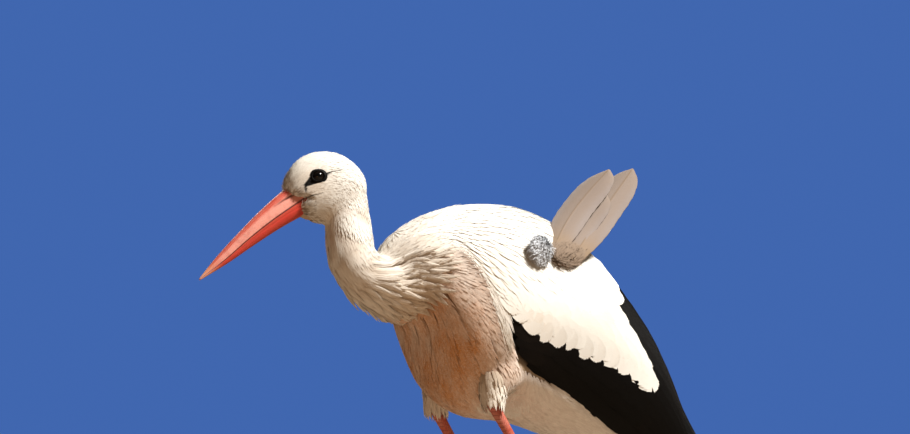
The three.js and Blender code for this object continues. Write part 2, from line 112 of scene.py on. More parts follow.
# Back feathers raised by the wind: root, tip, half width, lean in degrees, bow.
RAISED = [
    ((149, -88, 515), (247, -62, 623), 20, 38, 11),
    ((162, -89, 511), (240, -64, 594), 18, 32, 6),
    ((176, -89, 510), (284, -58, 628), 20, 26, 3),
]
DOWN_PLACE = (128, -94.5, 514)
DOWN_SIZE = (13, 8.5, 16)
FLUFF_PLACE = (164, -89.5, 511)
FLUFF_SIZE = (24, 7.5, 12)
LEG_OUT = 60
THIGH = [(136, 50, 420, 40, 30), (110, 58, 392, 35, 26), (94, 61, 368, 24, 20),
         (86, 60, 350, 14, 13), (84, 60, 339, 10, 9.5)]
LEG = [(80, 356, 7.0, 6.0), (84, 343, 7.0, 6.0), (114, 298, 5.7, 5.0), (143, 254, 6.2, 5.6),
       (151, 241, 8.2, 7.4), (157, 229, 9.4, 8.4), (157.5, 210, 6.8, 6.0),
       (157.5, 160, 5.1, 4.6), (158, 80, 5.1, 4.6), (158, 32, 5.9, 6.1), (158, 13, 9.0, 9.4)]
FOOT_X = 158
TOE_RADIUS = 5.6
SOLE_TRIM = 1.3
CLAW_LENGTH = 11
# Toes: heading from straight ahead, length without the claw, thickness share.
TOES = {"middle": (2, 74, 1.0), "inner": (-27, 60, 0.92), "outer": (30, 64, 0.92),
        "hind": (176, 24, 0.82)}
# The line that the feathers follow, from the face to the tail.
SPINE = [
    (-138, 30, 566), (-108, 23, 584), (-80, 16, 586), (-63, 13, 566), (-61.5, 12, 545),
    (-58.5, 9, 520), (-54, 5.5, 500), (-42, 2.5, 484), (-22, 0.5, 475), (8, 0, 469),
    (40, 0, 470), (71, 0, 463), (120, 0, 454), (179, 0, 441), (242, 0, 411), (297, 0, 374),
    (344, 0, 328), (395, 0, 277),
]
# Bare black skin of the face, as tapered strokes in the head's plane, measured from the eye:
# start along and up, end along and up, and the half width at each end.
BARE = [
    (0.6, 0.6, -0.4, 0.4, 6.8, 6.6), (-2.5, -1.2, -15, -10.5, 6.9, 2.2), (6, 1.8, 16, 6.8, 2.0, 0.5),
    (15.5, 6.6, 26, 8.7, 0.4, 0.1), (-15, -13, -14.4, -18, 1.6, 0.7), (-16, -25.6, -8, -22, 0.4, 0.6),
    (-8, -22, 4, -18.6, 0.6, 0.1), (-20.5, -34.5, -16, -41.5, 0.9, 1.1),
    (-16, -41.5, -9, -42.5, 1.1, 0.2),
]
# Where the feathers of the face begin, from the chin up to the bill's ridge, in the head's plane.
FEATHER_LINE = np.array([(-38, 543), (-41, 547.5), (-49.5, 550.5), (-53.5, 556), (-52, 560),
                         (-45.5, 566.8), (-50, 569), (-62, 570.2), (-73.3, 575), (-79, 579)])
# Where the plumes at the neck's root fan out from.
FAN = np.array([-125.0, 0, 481])
# Tips of the longest neck plumes on the shoulders and breast, as station and degrees from the back.
PLUME_TIPS = np.array([(1.7, 58), (1.98, 72), (1.84, 82), (1.72, 92), (1.66, 101), (1.45, 114),
                       (1.05, 128), (0.6, 144), (0.3, 162)])
# The lids' outline: strokes beside the eye's middle, with their half widths.
EYE_RING = [(0.6, 0.6, -0.4, 0.4, 7.2, 7.2), (-2.5, -1.2, -13, -9.5, 6.5, 2.2)]
# Where ochre dust stains the white coat, and where warm shade is painted into it on the neck, breast and
# shoulders: place, reach and strength.
STAINS_AND_SHADE = [
    ((-10, -40, 440), 60, 1.2), ((30, -62, 445), 50, 0.8), ((45, 0, 390), 70, 1.2),
    ((-60, -16, 480), 32, 0.55), ((35, -50, 400), 66, 1.2), ((88, -92, 425), 30, 0.6),
    ((-88, 12, 530), 18, 0.4), ((-10, 40, 440), 60, 1.1), ((30, 62, 445), 50, 0.7),
    ((35, 50, 400), 66, 1.1), ((-95, 0, 550), 14, 0.5), ((200, -90, 470), 30, 0.45),
    ((130, 95, 440), 34, 0.4), ((60, 0, 345), 66, 0.7), ((-118, 0, 580), 20, 0.8),
    ((-122, -14, 562), 16, 0.8), ((-5, -36, 524), 26, 0.5), ((58, -80, 500), 30, 0.4),
    ((48, -62, 545), 30, 0.3), ((137, -49, 562), 12, 0.7), ((50, 88, 480), 26, 0.4),
]


def smooth(x, low, high):
    """A soft step from 0 at low to 1 at high."""
    share = np.clip((x - low) / (high - low), 0, 1)
    return share * share * (3 - 2 * share)


def unit(v):
    return v / np.maximum(np.linalg.norm(v, axis=-1, keepdims=True), 1e-9)


def turns(sides):
    """Even angles once round, in radians."""
    return np.linspace(0, 2 * math.pi, sides, endpoint=False)


def spans(top, low):
    """The middle between two edges, the way from it up to the upper one, and that way's length."""
    middle, up = (top + low) / 2, (top - low) / 2
    return middle, up, np.linalg.norm(up, axis=-1)


def nearest_row(spots, top, low, pull=0.0):
    """The row of two edges that each spot lies level with, and how far up it lies as a share."""
    middle, up, tall = spans(top, low)
    ahead = np.stack([up[:, 1], -up[:, 0]], 1) / tall[:, None]
    offset = spots[:, None] - middle[None]
    along = np.abs((offset * ahead).sum(-1)) + pull * np.linalg.norm(offset, axis=-1)
    best = along.argmin(1)
    return best, (offset[np.arange(len(spots)), best] * up[best]).sum(1) / tall[best] ** 2


def track(rows):
    """A smooth curve through the rows, read by row number."""
    rows = np.array(rows, float)
    rows = np.concatenate([2 * rows[:1] - rows[1:2], rows, 2 * rows[-1:] - rows[-2:-1]])
    last = len(rows) - 3

    def at(station):
        station = np.clip(np.asarray(station, float), 0, last)
        i = np.minimum(station.astype(int), last - 1)
        w = (station - i)[..., None]
        a, b, c, d = rows[i], rows[i + 1], rows[i + 2], rows[i + 3]
        return b + 0.5 * w * (c - a + w * (2 * a - 5 * b + 4 * c - d + w * (3 * (b - c) + d - a)))

    return at


outline_at = track(OUTLINE)
edges_at = track(WING_EDGES)
neck_at = track(NECK)
head_at = track(HEAD)
bill_at = track(BILL)
tail_at = track(TAIL)


def wing_edge(station, which):
    """The folded wing's upper edge, the border of its white or its lower edge, in radians."""
    return np.radians(edges_at(np.asarray(station, float) - 1)[..., which])


def white_border(station):
    return np.minimum(wing_edge(station, BORDER), wing_edge(station, LOWER))


def outline(station, angle, depth):
    """Points that lie depth under the outline; a negative angle is the left side."""
    station, angle, depth = np.broadcast_arrays(station, angle, depth)
    row = outline_at(station)
    middle, up, tall = spans(row[..., :2], row[..., 2:4])
    flat = middle + up * (np.maximum(tall - depth, 0.6) * np.cos(angle) / tall)[..., None]
    wide = np.maximum(row[..., 4] - depth, 0.6)
    return np.stack([flat[..., 0], wide * np.sin(angle), flat[..., 1]], -1)


def laid(station, angle, depth):
    """Feet that lie depth under the outline, and the way out there."""
    feet = outline(station, angle, depth)
    return feet, unit(outline(station, angle, depth - 1) - feet)


def in_head(along, height, out):
    """A point given in the head's own plane; out is towards the bird's left."""
    along, height, out = np.broadcast_arrays(along, height, out)
    c, s = math.cos(HEAD_YAW), math.sin(HEAD_YAW)
    x = along * c - out * s + HEAD_PLACE[0]
    y = -along * s - out * c + HEAD_PLACE[1]
    return np.stack([x, y, height], -1).astype(float)


def from_head(points):
    """The place of points along, above and out from the head's own plane."""
    c, s = math.cos(HEAD_YAW), math.sin(HEAD_YAW)
    x, y = points[..., 0] - HEAD_PLACE[0], points[..., 1] - HEAD_PLACE[1]
    return x * c - y * s, points[..., 2], -x * s - y * c


def bird_zero():
    """Where the bird's own origin lies in the frame, read from the left eye's box."""
    low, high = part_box("eye_left")
    return np.array((low + high) / 2) - in_head(*EYE_PLACE) * MM


ZERO = bird_zero()
ACROSS_HEAD = in_head(0, 0, 1) - in_head(0, 0, 0)


def along_spine(points):
    """How far along the body each point lies, in mm from the face, and the body's direction there."""
    line = track(SPINE)(np.linspace(0, len(SPINE) - 1, 150))
    ahead = unit(np.gradient(line, axis=0))
    run = np.concatenate([[0], np.cumsum(np.linalg.norm(np.diff(line, axis=0), axis=1))])
    gap = ((points[:, None, :] - line[None]) ** 2).sum(-1)
    weight = 1 / (gap + 30.0) ** 3
    weight /= weight.sum(1, keepdims=True)
    return weight @ run, unit(weight @ ahead), weight @ line


def station_of(points):
    """The outline's station and angle from the back that each point of the trunk lies at."""
    stations = np.linspace(0, 9.6, 193)
    row = outline_at(stations)
    best, rise = nearest_row(points[:, [0, 2]], row[:, :2], row[:, 2:4], 0.02)
    return stations[best], np.arctan2(np.abs(points[:, 1]) / row[best, 4], rise)


def ripple(points, size, seed):
    """A soft, uneven field between about -1 and 1, with features of the given size."""
    rng = np.random.default_rng(seed)
    total = 0
    for _ in range(5):
        wave = rng.normal(size=3)
        wave *= 2 * math.pi / (size * rng.uniform(0.7, 1.6) * np.linalg.norm(wave))
        total = total + np.sin(points @ wave + rng.uniform(0, 2 * math.pi))
    return total / 3


def stain_and_shade_at(points):
    """How strongly the coat is stained with ochre dust and painted with warm shade at each point, from 0 to
    1.
    """
    total = np.zeros(len(points))
    for place, reach, strength in STAINS_AND_SHADE:
        gap = np.linalg.norm(points - np.array(place, float), axis=1)
        total = np.maximum(total, strength * np.exp(-(gap / reach) ** 2))
    patch = 0.84 + 0.14 * ripple(points, 26, 5) + 0.06 * ripple(points, 9, 6)
    return np.clip(total * patch + 0.07, 0, 1)


def bare_at(points, strokes=tuple(BARE)):
    """1 where the face is bare black skin: round the eye, beside the gape and at the chin."""
    along, height, out = from_head(points)
    spot = np.stack([along - EYE_PLACE[0], height - EYE_PLACE[1]], -1)
    edge = np.full(len(points), FAR)
    for x0, z0, x1, z1, thick, thin in strokes:
        a, b = np.array([x0, z0], float), np.array([x1, z1], float)
        share = np.clip(((spot - a) @ (b - a)) / ((b - a) @ (b - a)), 0, 1)
        away = np.linalg.norm(spot - a - share[:, None] * (b - a), axis=1)
        edge = np.minimum(edge, away - thick - (thin - thick) * share)
    edge = edge + 0.3 * ripple(points, 4, 11)
    return np.where(np.abs(out) > 6, smooth(-edge, -0.45, 0.45), 0.0)


def before_face(points):
    """How far in front of the face's first feathers each point lies; negative is behind."""
    along, height, _ = from_head(points)
    return np.interp(height, FEATHER_LINE[:, 1], FEATHER_LINE[:, 0]) - along


def bill_reach(points):
    """How far out each point lies against the bill there: 1 on its surface, less inside it."""
    along, height, out = from_head(points)
    row = bill_at(np.linspace(0, len(BILL) - 1, 50))
    best, up = nearest_row(np.stack([along, height], -1), row[:, :2], row[:, 4:6])
    return np.where(along < BILL_START, np.hypot(up, out / row[best, 6]), FAR)


# --- Meshes ---
def read_rows(items, title, columns=3, kind=np.float32):
    """One row of numbers for each item of a mesh."""
    flat = np.zeros(len(items) * columns, kind)
    items.foreach_get(title, flat)
    return flat.reshape(-1, columns)


def give_values(mesh, values):
    for title, numbers in values.items():
        layer = mesh.attributes.new(title, "FLOAT", "POINT")
        layer.data.foreach_set("value", np.asarray(numbers, np.float32))


def softened(mesh, ups, soft):
    """Turns the normals of each blade towards the skin's, so that a coat shades as one soft surface."""
    corner = read_rows(mesh.loops, "vertex_index", 1, np.int32).ravel()
    flat = np.repeat(read_rows(mesh.polygons, "normal"), 3, axis=0)
    up, share = ups[corner], soft[corner][:, None]
    side = np.where((flat * up).sum(1, keepdims=True) < 0, -1, 1)
    mesh.normals_split_custom_set(unit(flat * (1 - share) + up * side * share).tolist())


def made(name, points, triangles, maps=None, values=None, ups=None, soft=None):
    """A mesh object from arrays: points in bird millimetres, UV maps and values for each point."""
    triangles = np.asarray(triangles, np.int64)
    corner = np.asarray(points, float)[triangles]
    volume = (corner[:, 0] * np.cross(corner[:, 1], corner[:, 2])).sum()
    if volume < 0:
        triangles = triangles[:, ::-1]
    mesh = bpy.data.meshes.new(name)
    mesh.vertices.add(len(points))
    mesh.loops.add(triangles.size)
    mesh.polygons.add(len(triangles))
    mesh.vertices.foreach_set("co", (np.asarray(points) * MM + ZERO).astype(np.float32).ravel())
    mesh.loops.foreach_set("vertex_index", triangles.ravel().astype(np.int32))
    mesh.polygons.foreach_set("loop_start", np.arange(0, triangles.size, 3, dtype=np.int32))
    mesh.polygons.foreach_set("use_smooth", np.full(len(triangles), True))
    for title, spots in (maps or {}).items():
        layer = mesh.uv_layers.new(name=title)
        layer.data.foreach_set("uv", spots[triangles.ravel()].astype(np.float32).ravel())
    give_values(mesh, values or {})
    mesh.update(calc_edges=True)
    mesh.validate()
    if ups is not None:
        softened(mesh, ups, soft)
    item = bpy.data.objects.new(name, mesh)
    bpy.context.scene.collection.objects.link(item)
    return item


def tube(rings):
    """Points and triangles of a closed skin over rings of points, with its two ends filled."""
    count, sides = rings.shape[:2]
    points = np.concatenate([rings.reshape(-1, 3), rings[:1].mean(1), rings[-1:].mean(1)])
    a = np.arange(sides)
    b = (a + 1) % sides
    row = np.arange(count - 1)[:, None] * sides
    low, low_next, high, high_next = row + a, row + b, row + sides + a, row + sides + b
    walls = [np.stack([low, low_next, high_next], -1), np.stack([low, high_next, high], -1)]
    first = np.stack([b, a, np.full(sides, count * sides)], -1)
    end = (count - 1) * sides
    last = np.stack([end + a, end + b, np.full(sides, count * sides + 1)], -1)
    return points, np.concatenate([w.reshape(-1, 3) for w in walls] + [first, last])


def there_and_back(there, back):
    """Rings that run along one side of a thin sheet and come back along the other."""
    return np.concatenate([there, back[:, ::-1][:, 1:-1]], 1)


def only(*items):
    """Selects these objects alone."""
    bpy.ops.object.select_all(action="DESELECT")
    for item in items:
        item.select_set(True)
    bpy.context.view_layer.objects.active = items[0]


def applied(item, kind, **settings):
    """Puts a modifier on an object and applies it."""
    only(item)
    bpy.ops.object.modifier_add(type=kind)
    modifier = item.modifiers[-1]
    for key, value in settings.items():
        setattr(modifier, key, value)
    bpy.ops.object.modifier_apply(modifier=modifier.name)


def joined(name, items):
    """One object from several."""
    only(*items)
    if len(items) > 1:
        bpy.ops.object.join()
    items[0].name = items[0].data.name = name
    return items[0]


def finished(item, material, slot, *nodes):
    """Gives a piece its material and body and hides the nodes that it stands for; the slot is not used."""
    item.data.materials.clear()
    item.data.materials.append(material_named(material))
    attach(item, "root")
    if nodes:
        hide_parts(*nodes)


def points_of(item):
    """An object's points in bird millimetres."""
    return (read_rows(item.data.vertices, "co") - ZERO) / MM


def put_points(item, points):
    """Moves an object's points to places in bird millimetres."""
    item.data.vertices.foreach_set("co", (points * MM + ZERO).astype(np.float32).ravel())
    item.data.update()


# --- Feathers: joined thin closed blades ---
# A blade's section as pairs of across and up, each a share of its half width or thickness.
HAIR = np.array([(-1, 0), (0, 1), (1, 0)], float)
LEAF = np.array([(-1, 0), (-0.5, 0.6), (0, 1), (0.5, 0.6), (1, 0), (0, -0.6)], float)
QUILL = np.array([(-1, 0), (-0.55, 0.4), (-0.1, 0.5), (0, 1.3), (0.1, 0.5), (0.55, 0.4), (1, 0),
                  (0.5, -0.4), (0, -0.7), (-0.5, -0.4)], float)
# A blade's shape as pairs of share of its length and share of its half width.
NEEDLE = np.array([(0, 0.7), (0.45, 1), (0.8, 0.6), (1, 0)])
LANCE = np.array([(0, 0.4), (0.25, 0.95), (0.55, 1), (0.82, 0.6), (1, 0)])
PETAL = np.array([(0, 0.4), (0.25, 0.85), (0.55, 1), (0.8, 0.9), (0.93, 0.6), (1, 0)])
PLUME = np.array([(0, 0.45), (0.25, 0.9), (0.5, 1), (0.72, 0.82), (0.88, 0.5), (1, 0)])
SCALLOP = np.array([(0, 0.35), (0.25, 0.75), (0.5, 0.96), (0.7, 1), (0.85, 0.88), (0.95, 0.58),
                    (1, 0)])
LONG_QUILL = np.array([(0, 0.3), (0.06, 0.55), (0.15, 0.8), (0.3, 0.95), (0.45, 1), (0.6, 1),
                       (0.72, 0.98), (0.82, 0.92), (0.9, 0.78), (0.95, 0.6), (0.985, 0.34), (1, 0)])


PATCH = 0.003  # height of a blade's own patch on the bake map


def none_at(points):
    """For a value that is 0 everywhere."""
    return np.zeros(len(points))


def one_at(points):
    """For a value that is 1 everywhere."""
    return np.ones(len(points))


class Coat:
    """The arrays of one row of blades: feet along each blade, the way up there, and the sizes."""

    def __init__(self, feet, ups, shape, half, thick, place, section, cup, tone=0.0, dark=None,
                 soft=0.85, stain_and_shade=None):
        self.feet, self.ups, self.shape, self.section = feet, ups, shape, section
        self.half, self.tone, self.soft = (np.broadcast_to(row, len(feet)) for row in (half, tone, soft))
        self.thick, self.cup, self.place = thick, cup, place
        self.dark = dark or none_at
        self.stain_and_shade = stain_and_shade_at(feet[:, 0]) if stain_and_shade is None else np.broadcast_to(stain_and_shade, len(feet))

    def arrays(self, rng):
        """The points, faces, maps, values, ways up and softness of all the blades."""
        count, steps = self.feet.shape[:2]
        sides = len(self.section)
        ahead = unit(np.gradient(self.feet, axis=1))
        across = unit(np.cross(self.ups, ahead))
        run = np.linalg.norm(np.diff(self.feet, axis=1), axis=-1).cumsum(1)
        run = np.concatenate([np.zeros((count, 1)), run], 1)
        half = self.half[:, None] * self.shape[None, :, 1]
        width, rise = self.section[:, 0], self.section[:, 1]
        side = half[:, :-1, None] * width
        thick = self.thick * (1 - 0.55 * self.shape[:-1, 0])
        high = thick[None, :, None] * rise / 2 - self.cup * half[:, :-1, None] * width**2
        body = (self.feet[:, :-1, None] + across[:, :-1, None] * side[..., None]
                + self.ups[:, :-1, None] * high[..., None])
        points = np.concatenate([body.reshape(count, -1, 3), self.feet[:, -1:]], 1)
        share = np.append(np.repeat(self.shape[:-1, 0], sides), 1.0)
        vane = np.zeros((count, points.shape[1], 2))
        vane[:, :-1, 0] = side.reshape(count, -1)
        vane[:, :, 1] = np.concatenate([np.repeat(run[:, :-1], sides, axis=1), run[:, -1:]], 1)
        spread = np.append(np.tile(width, steps - 1), 0.0)
        patch = PATCH * np.stack([0.5 * spread, share - 0.5], -1)
        bake = self.place[:, None] + patch[None]
        values = {
            "reach": np.tile(share, count),
            "chance": np.repeat(rng.random(count), len(share)),
            # Each blade's ochre dust and warm painted shade.
            "stain_and_shade": np.repeat(self.stain_and_shade, len(share)),
            # Each blade's share of painted shade.
            "tone": np.repeat(self.tone, len(share)),
            "dark": self.dark(points.reshape(-1, 3)),
        }
        ups = np.concatenate([np.repeat(self.ups[:, :-1], sides, axis=1), self.ups[:, -1:]], 1)
        return (points, blade_faces(count, steps, sides), vane, bake, values, ups,
                np.repeat(self.soft, points.shape[1]))


def blade_faces(count, steps, sides):
    """Triangles of blades that close over a root face and a pointed tip."""
    a = np.arange(sides)
    b = (a + 1) % sides
    faces = [(0, k + 1, k) for k in range(1, sides - 1)]
    for row in range(0, (steps - 2) * sides, sides):
        faces += list(zip(row + a, row + b, row + sides + b))
        faces += list(zip(row + a, row + sides + b, row + sides + a))
    row, tip = (steps - 2) * sides, (steps - 1) * sides
    faces += list(zip(row + a, row + b, [tip] * sides))
    faces = np.array(faces, np.int64)
    return (faces[None] + (np.arange(count) * (tip + 1))[:, None, None]).reshape(-1, 3)


def feathered(name, coats, seed):
    """One piece from several rows of blades, each blade's bake patch at its root on the skin's map."""
    rng = np.random.default_rng(seed)
    points, faces, vanes, bakes, ups, softs, values, start = [], [], [], [], [], [], {}, 0
    for coat in coats:
        p, f, vane, bake, numbers, up, soft = coat.arrays(rng)
        faces.append(f + start)
        start += p.shape[0] * p.shape[1]
        for rows, array, width in ((points, p, 3), (vanes, vane, 2), (bakes, bake, 2), (ups, up, 3)):
            rows.append(array.reshape(-1, width))
        softs.append(soft)
        for key, array in numbers.items():
            values.setdefault(key, []).append(array)
    return made(name, np.concatenate(points), np.concatenate(faces),
                {"vane": np.concatenate(vanes), "OFBake": np.concatenate(bakes)},
                {key: np.concatenate(arrays) for key, arrays in values.items()},
                np.concatenate(ups), np.concatenate(softs))


def coated(name, coats, seed, material, slot, *nodes):
    finished(feathered(name, coats, seed), material, slot, *nodes)


def spread_places(*columns):
    """Two numbers for each root, stretched to fill the unit square with a small margin."""
    spots = np.stack(columns, -1).astype(float)
    low, high = spots.min(0), spots.max(0)
    return 0.01 + 0.98 * (spots - low) / np.maximum(high - low, 1e-9)


class Hide:
    """The skin as a surface to plant feathers on."""

    def __init__(self, item):
        mesh = item.data
        mesh.calc_loop_triangles()
        self.points = points_of(item)
        self.faces = read_rows(mesh.loop_triangles, "vertices", kind=np.int32)
        self.normals = read_rows(mesh.vertices, "normal")
        self.tree = BVHTree.FromPolygons(self.points.tolist(), self.faces.tolist())

    def foot(self, points):
        """The nearest places on the skin, with its normals there."""
        found = [self.tree.find_nearest(p) for p in points.tolist()]
        feet = np.array([f[0] for f in found])
        faces = self.faces[[f[2] for f in found]]
        return feet, unit(self.normals[faces].sum(1))

    def scatter(self, spacing_at, seed):
        """Roots over the skin, about spacing_at apart; a spacing of 0 leaves the place bare."""
        rng = np.random.default_rng(seed)
        corner = self.points[self.faces]
        middle = corner.mean(1)
        spacing = spacing_at(middle)
        sides = corner[:, 1] - corner[:, 0], corner[:, 2] - corner[:, 0]
        area = np.linalg.norm(np.cross(*sides), axis=1) / 2
        wanted = np.where(spacing > 0, 1.7 * area / np.maximum(spacing, 0.1) ** 2, 0)
        number = (wanted + rng.random(len(wanted))).astype(int)
        pick = np.repeat(np.arange(len(number)), number)
        u, v = rng.random((2, len(pick), 1))
        flip = u + v > 1
        u, v = np.where(flip, 1 - u, u), np.where(flip, 1 - v, v)
        spots = corner[pick, 0] * (1 - u - v) + corner[pick, 1] * u + corner[pick, 2] * v
        level = np.round(np.log(spacing[pick] * 0.8) / np.log(1.15))
        cell = np.floor(spots / (1.15 ** level)[:, None])
        order = rng.permutation(len(spots))
        cell = np.concatenate([cell, level[:, None]], 1)
        _, first = np.unique(cell[order], axis=0, return_index=True)
        keep = np.sort(order[first])
        return spots[keep], unit(self.normals[self.faces[pick[keep]]].sum(1))

    def walk(self, roots, heading, length, shares):
        """Feet of blades that start at the roots and run over the skin, with the skin's normals."""
        feet, ups = [], []
        here, before = roots, 0.0
        for share in shares:
            here, up = self.foot(here + heading * (length * (share - before))[:, None])
            heading = unit(heading - up * (heading * up).sum(1, keepdims=True))
            feet.append(here)
            ups.append(up)
            before = share
        return np.stack(feet, 1), np.stack(ups, 1)


def turned(vectors, axes, angles):
    """Vectors turned about axes that stand square to them."""
    c, s = np.cos(angles)[:, None], np.sin(angles)[:, None]
    return vectors * c + np.cross(axes, vectors) * s


def planted(hide, roots, ups, size, seed):
    """Blades on the skin, with the sizes read at each root's distance from the face."""
    rng = np.random.default_rng(seed)
    run, ahead, centre = along_spine(roots)
    heading = ahead - np.array([0, 0, 1.0]) * size.droop(run, roots)[:, None]
    if size.fan:
        share = smooth(run, 150, 195)[:, None]
        heading = unit(heading) * (1 - share) + unit(roots - FAN) * share
    heading = unit(heading - ups * (heading * ups).sum(1, keepdims=True))
    uneven = 0.7 * ripple(roots, size.clump, seed + 1) + 0.5 * rng.normal(size=len(roots))
    heading = turned(heading, ups, size.swirl(run) * uneven)
    length = size.length(run) * rng.uniform(0.78, 1.18, len(roots))
    half = size.half(run) * rng.uniform(0.85, 1.15, len(roots))
    shape = size.shape
    feet, normals = hide.walk(roots, heading, length, shape[:, 0])
    uneven = 0.6 * ripple(roots, size.clump, seed + 2) + 0.5 * rng.normal(size=len(roots))
    puff = 1 + size.puff * uneven
    low, high = size.root(run), size.tip(run)
    rise = low[:, None] + ((high - low) * np.clip(puff, 0.1, 2.0))[:, None] * shape[None, :, 0] ** 1.2
    rise = rise * size.lift(roots)[:, None]
    if size.section is LEAF:
        rise = rise * (1 - 0.3 * smooth(shape[:, 0], 0.7, 1.0))
    station, away = station_of(feet.reshape(-1, 3))
    tucked = (station > 2.2) & (away < wing_edge(station, LOWER) - 0.02) & (away > wing_edge(station, UPPER))
    rise = np.where(tucked.reshape(rise.shape), np.minimum(rise, 0.8), rise)
    feet = feet + normals * rise[..., None]
    lean = np.where(run > 120, 0.3, 0.0)
    aside = roots - centre
    around = np.arctan2(aside[:, 1], aside[:, 2] - lean * aside[:, 0])
    return Coat(feet, normals, shape, half, size.thick, spread_places(run, around), size.section,
                size.cup, tone=size.tone(roots), dark=size.dark, soft=size.soft(run))


# --- Materials ---
def fed(tree, item, links):
    """Joins or sets inputs of a node."""
    for socket, value in links.items():
        if isinstance(value, bpy.types.NodeSocket):
            tree.links.new(value, item.inputs[socket])
        else:
            item.inputs[socket].default_value = value


def node(tree, kind, links=None, **settings):
    item = tree.nodes.new(kind)
    for key, value in settings.items():
        setattr(item, key, value)
    fed(tree, item, links or {})
    return item


def sums(tree, operation, *values):
    return node(tree, "ShaderNodeMath", dict(enumerate(values)), operation=operation).outputs[0]


def clamped(tree, value):
    return node(tree, "ShaderNodeClamp", {0: value}).outputs[0]


def rgba(colour):
    """A colour with its alpha; one that comes out of a node stays as it is."""
    return colour if isinstance(colour, bpy.types.NodeSocket) else (*colour, 1.0)


def dimmed(colour, share):
    return [c * share for c in colour]


def layered(tree, colour, *layers):
    """A colour with others laid over it, each by its own share."""
    for share, over in layers:
        links = {0: share, 6: rgba(colour), 7: rgba(over)}
        colour = node(tree, "ShaderNodeMix", links, data_type="RGBA").outputs[2]
    return colour


def ranged(tree, value, low, high, least, most):
    """A value between low and high as one between least and most."""
    links = {"Value": value, "From Min": low, "From Max": high, "To Min": least, "To Max": most}
    return node(tree, "ShaderNodeMapRange", links).outputs[0]


def noise(tree, spot, scale, detail, rough=0.5):
    links = {"Vector": spot, "Scale": scale, "Detail": detail, "Roughness": rough}
    return node(tree, "ShaderNodeTexNoise", links).outputs["Fac"]


def bumped(tree, height, strength, distance):
    links = {"Height": height, "Strength": strength, "Distance": distance}
    return node(tree, "ShaderNodeBump", links).outputs[0]


def reading(tree, name):
    return node(tree, "ShaderNodeAttribute", attribute_name=name).outputs["Fac"]


def object_place(tree):
    return node(tree, "ShaderNodeTexCoord").outputs["Object"]


def map_parts(tree, name):
    """The place on a UV map, and its two numbers one by one."""
    spot = node(tree, "ShaderNodeUVMap", uv_map=name).outputs[0]
    return spot, node(tree, "ShaderNodeSeparateXYZ", {0: spot}).outputs


def new_group(name, inputs, outputs):
    """A group of nodes that takes and gives numbers."""
    group = bpy.data.node_groups.new(name, "ShaderNodeTree")
    for title, default in inputs.items():
        socket = group.interface.new_socket(title, in_out="INPUT", socket_type="NodeSocketFloat")
        socket.default_value = default
    for title in outputs:
        group.interface.new_socket(title, in_out="OUTPUT", socket_type="NodeSocketFloat")
    return group, group.nodes.new("NodeGroupInput").outputs, group.nodes.new("NodeGroupOutput")


def placed(tree, name, links=None):
    return node(tree, "ShaderNodeGroup", links, node_tree=bpy.data.node_groups[name]).outputs


def barb_group():
    """Fine barbs that run from a blade's shaft to its edges, as a height and as a streak mask."""
    group, given, end = new_group("feather barbs", {"Slant": 1.4}, ("Height", "Streak"))
    _, parts = map_parts(group, "vane")
    slanted = sums(group, "MULTIPLY", sums(group, "ABSOLUTE", parts[0]), given["Slant"])
    place = node(group, "ShaderNodeCombineXYZ", {
        0: sums(group, "SUBTRACT", parts[1], slanted),
        1: sums(group, "MULTIPLY", parts[0], 0.12),
        2: sums(group, "MULTIPLY", reading(group, "chance"), 97.0)}).outputs[0]
    fed(group, end, {"Height": noise(group, place, 2.4, 2.0, 0.6),
                     "Streak": noise(group, place, 0.55, 3.0, 0.65)})


def dust_group():
    """Soft uneven dust and wear, larger than a feather, from the place on the bird."""
    group, given, end = new_group("weathering", {"Size": 30.0}, ("Mask",))
    cloud = noise(group, object_place(group), given["Size"], 4.0, 0.6)
    fed(group, end, {"Mask": ranged(group, cloud, 0.35, 0.7, 0.0, 1.0)})


def new_material(name):
    """A material with its nodes and its shader."""
    material = bpy.data.materials.new(name)
    material.use_nodes = True
    tree = material.node_tree
    return material, tree, tree.nodes["Principled BSDF"]


def plumage(name, base, stained, shaded, rough=0.8, sheen=0.1, bump=0.35, gloss=0.2, slant=1.4,
            depth=0.5, dusty=1.0):
    """Feathers: a base colour, the colour of their ochre dust and warm painted shade, and the colour of
    painted shade at their roots and in their depths.
    """
    material, tree, shader = new_material(name)
    barbs = placed(tree, "feather barbs", {"Slant": slant})
    dust = placed(tree, "weathering")["Mask"]
    # Ochre dust and warm painted shade, from each blade's value.
    stain_and_shade = sums(tree, "MULTIPLY", reading(tree, "stain_and_shade"), sums(tree, "MULTIPLY_ADD", dust, 0.3, 0.75))
    stain_and_shade = sums(tree, "MULTIPLY", sums(tree, "MULTIPLY", stain_and_shade, dusty),
                 sums(tree, "ADD", barbs["Streak"], 0.1))
    uneven = sums(tree, "MULTIPLY", reading(tree, "chance"), 0.16)
    uneven = sums(tree, "SUBTRACT", sums(tree, "MULTIPLY_ADD", barbs["Streak"], 0.3, uneven), 0.12)
    fed(tree, shader, {
        "Base Color": layered(tree, base, (clamped(tree, stain_and_shade), stained),
                              # Painted shade: each blade darkens towards its root, deep in the coat.
                              (ranged(tree, reading(tree, "reach"), 0.55, 0.0, 0.0, depth), shaded),
                              # Random unevenness and each blade's own painted shade both darken towards the
                              # shade colour.
                              (clamped(tree, uneven), shaded), (reading(tree, "tone"), shaded),
                              (reading(tree, "dark"), (0.004, 0.0035, 0.0035))),
        "Roughness": rough, "Sheen Weight": sheen, "Sheen Roughness": 0.5,
        "Specular IOR Level": gloss, "Normal": bumped(tree, barbs["Height"], bump, 0.0006)})
    return material


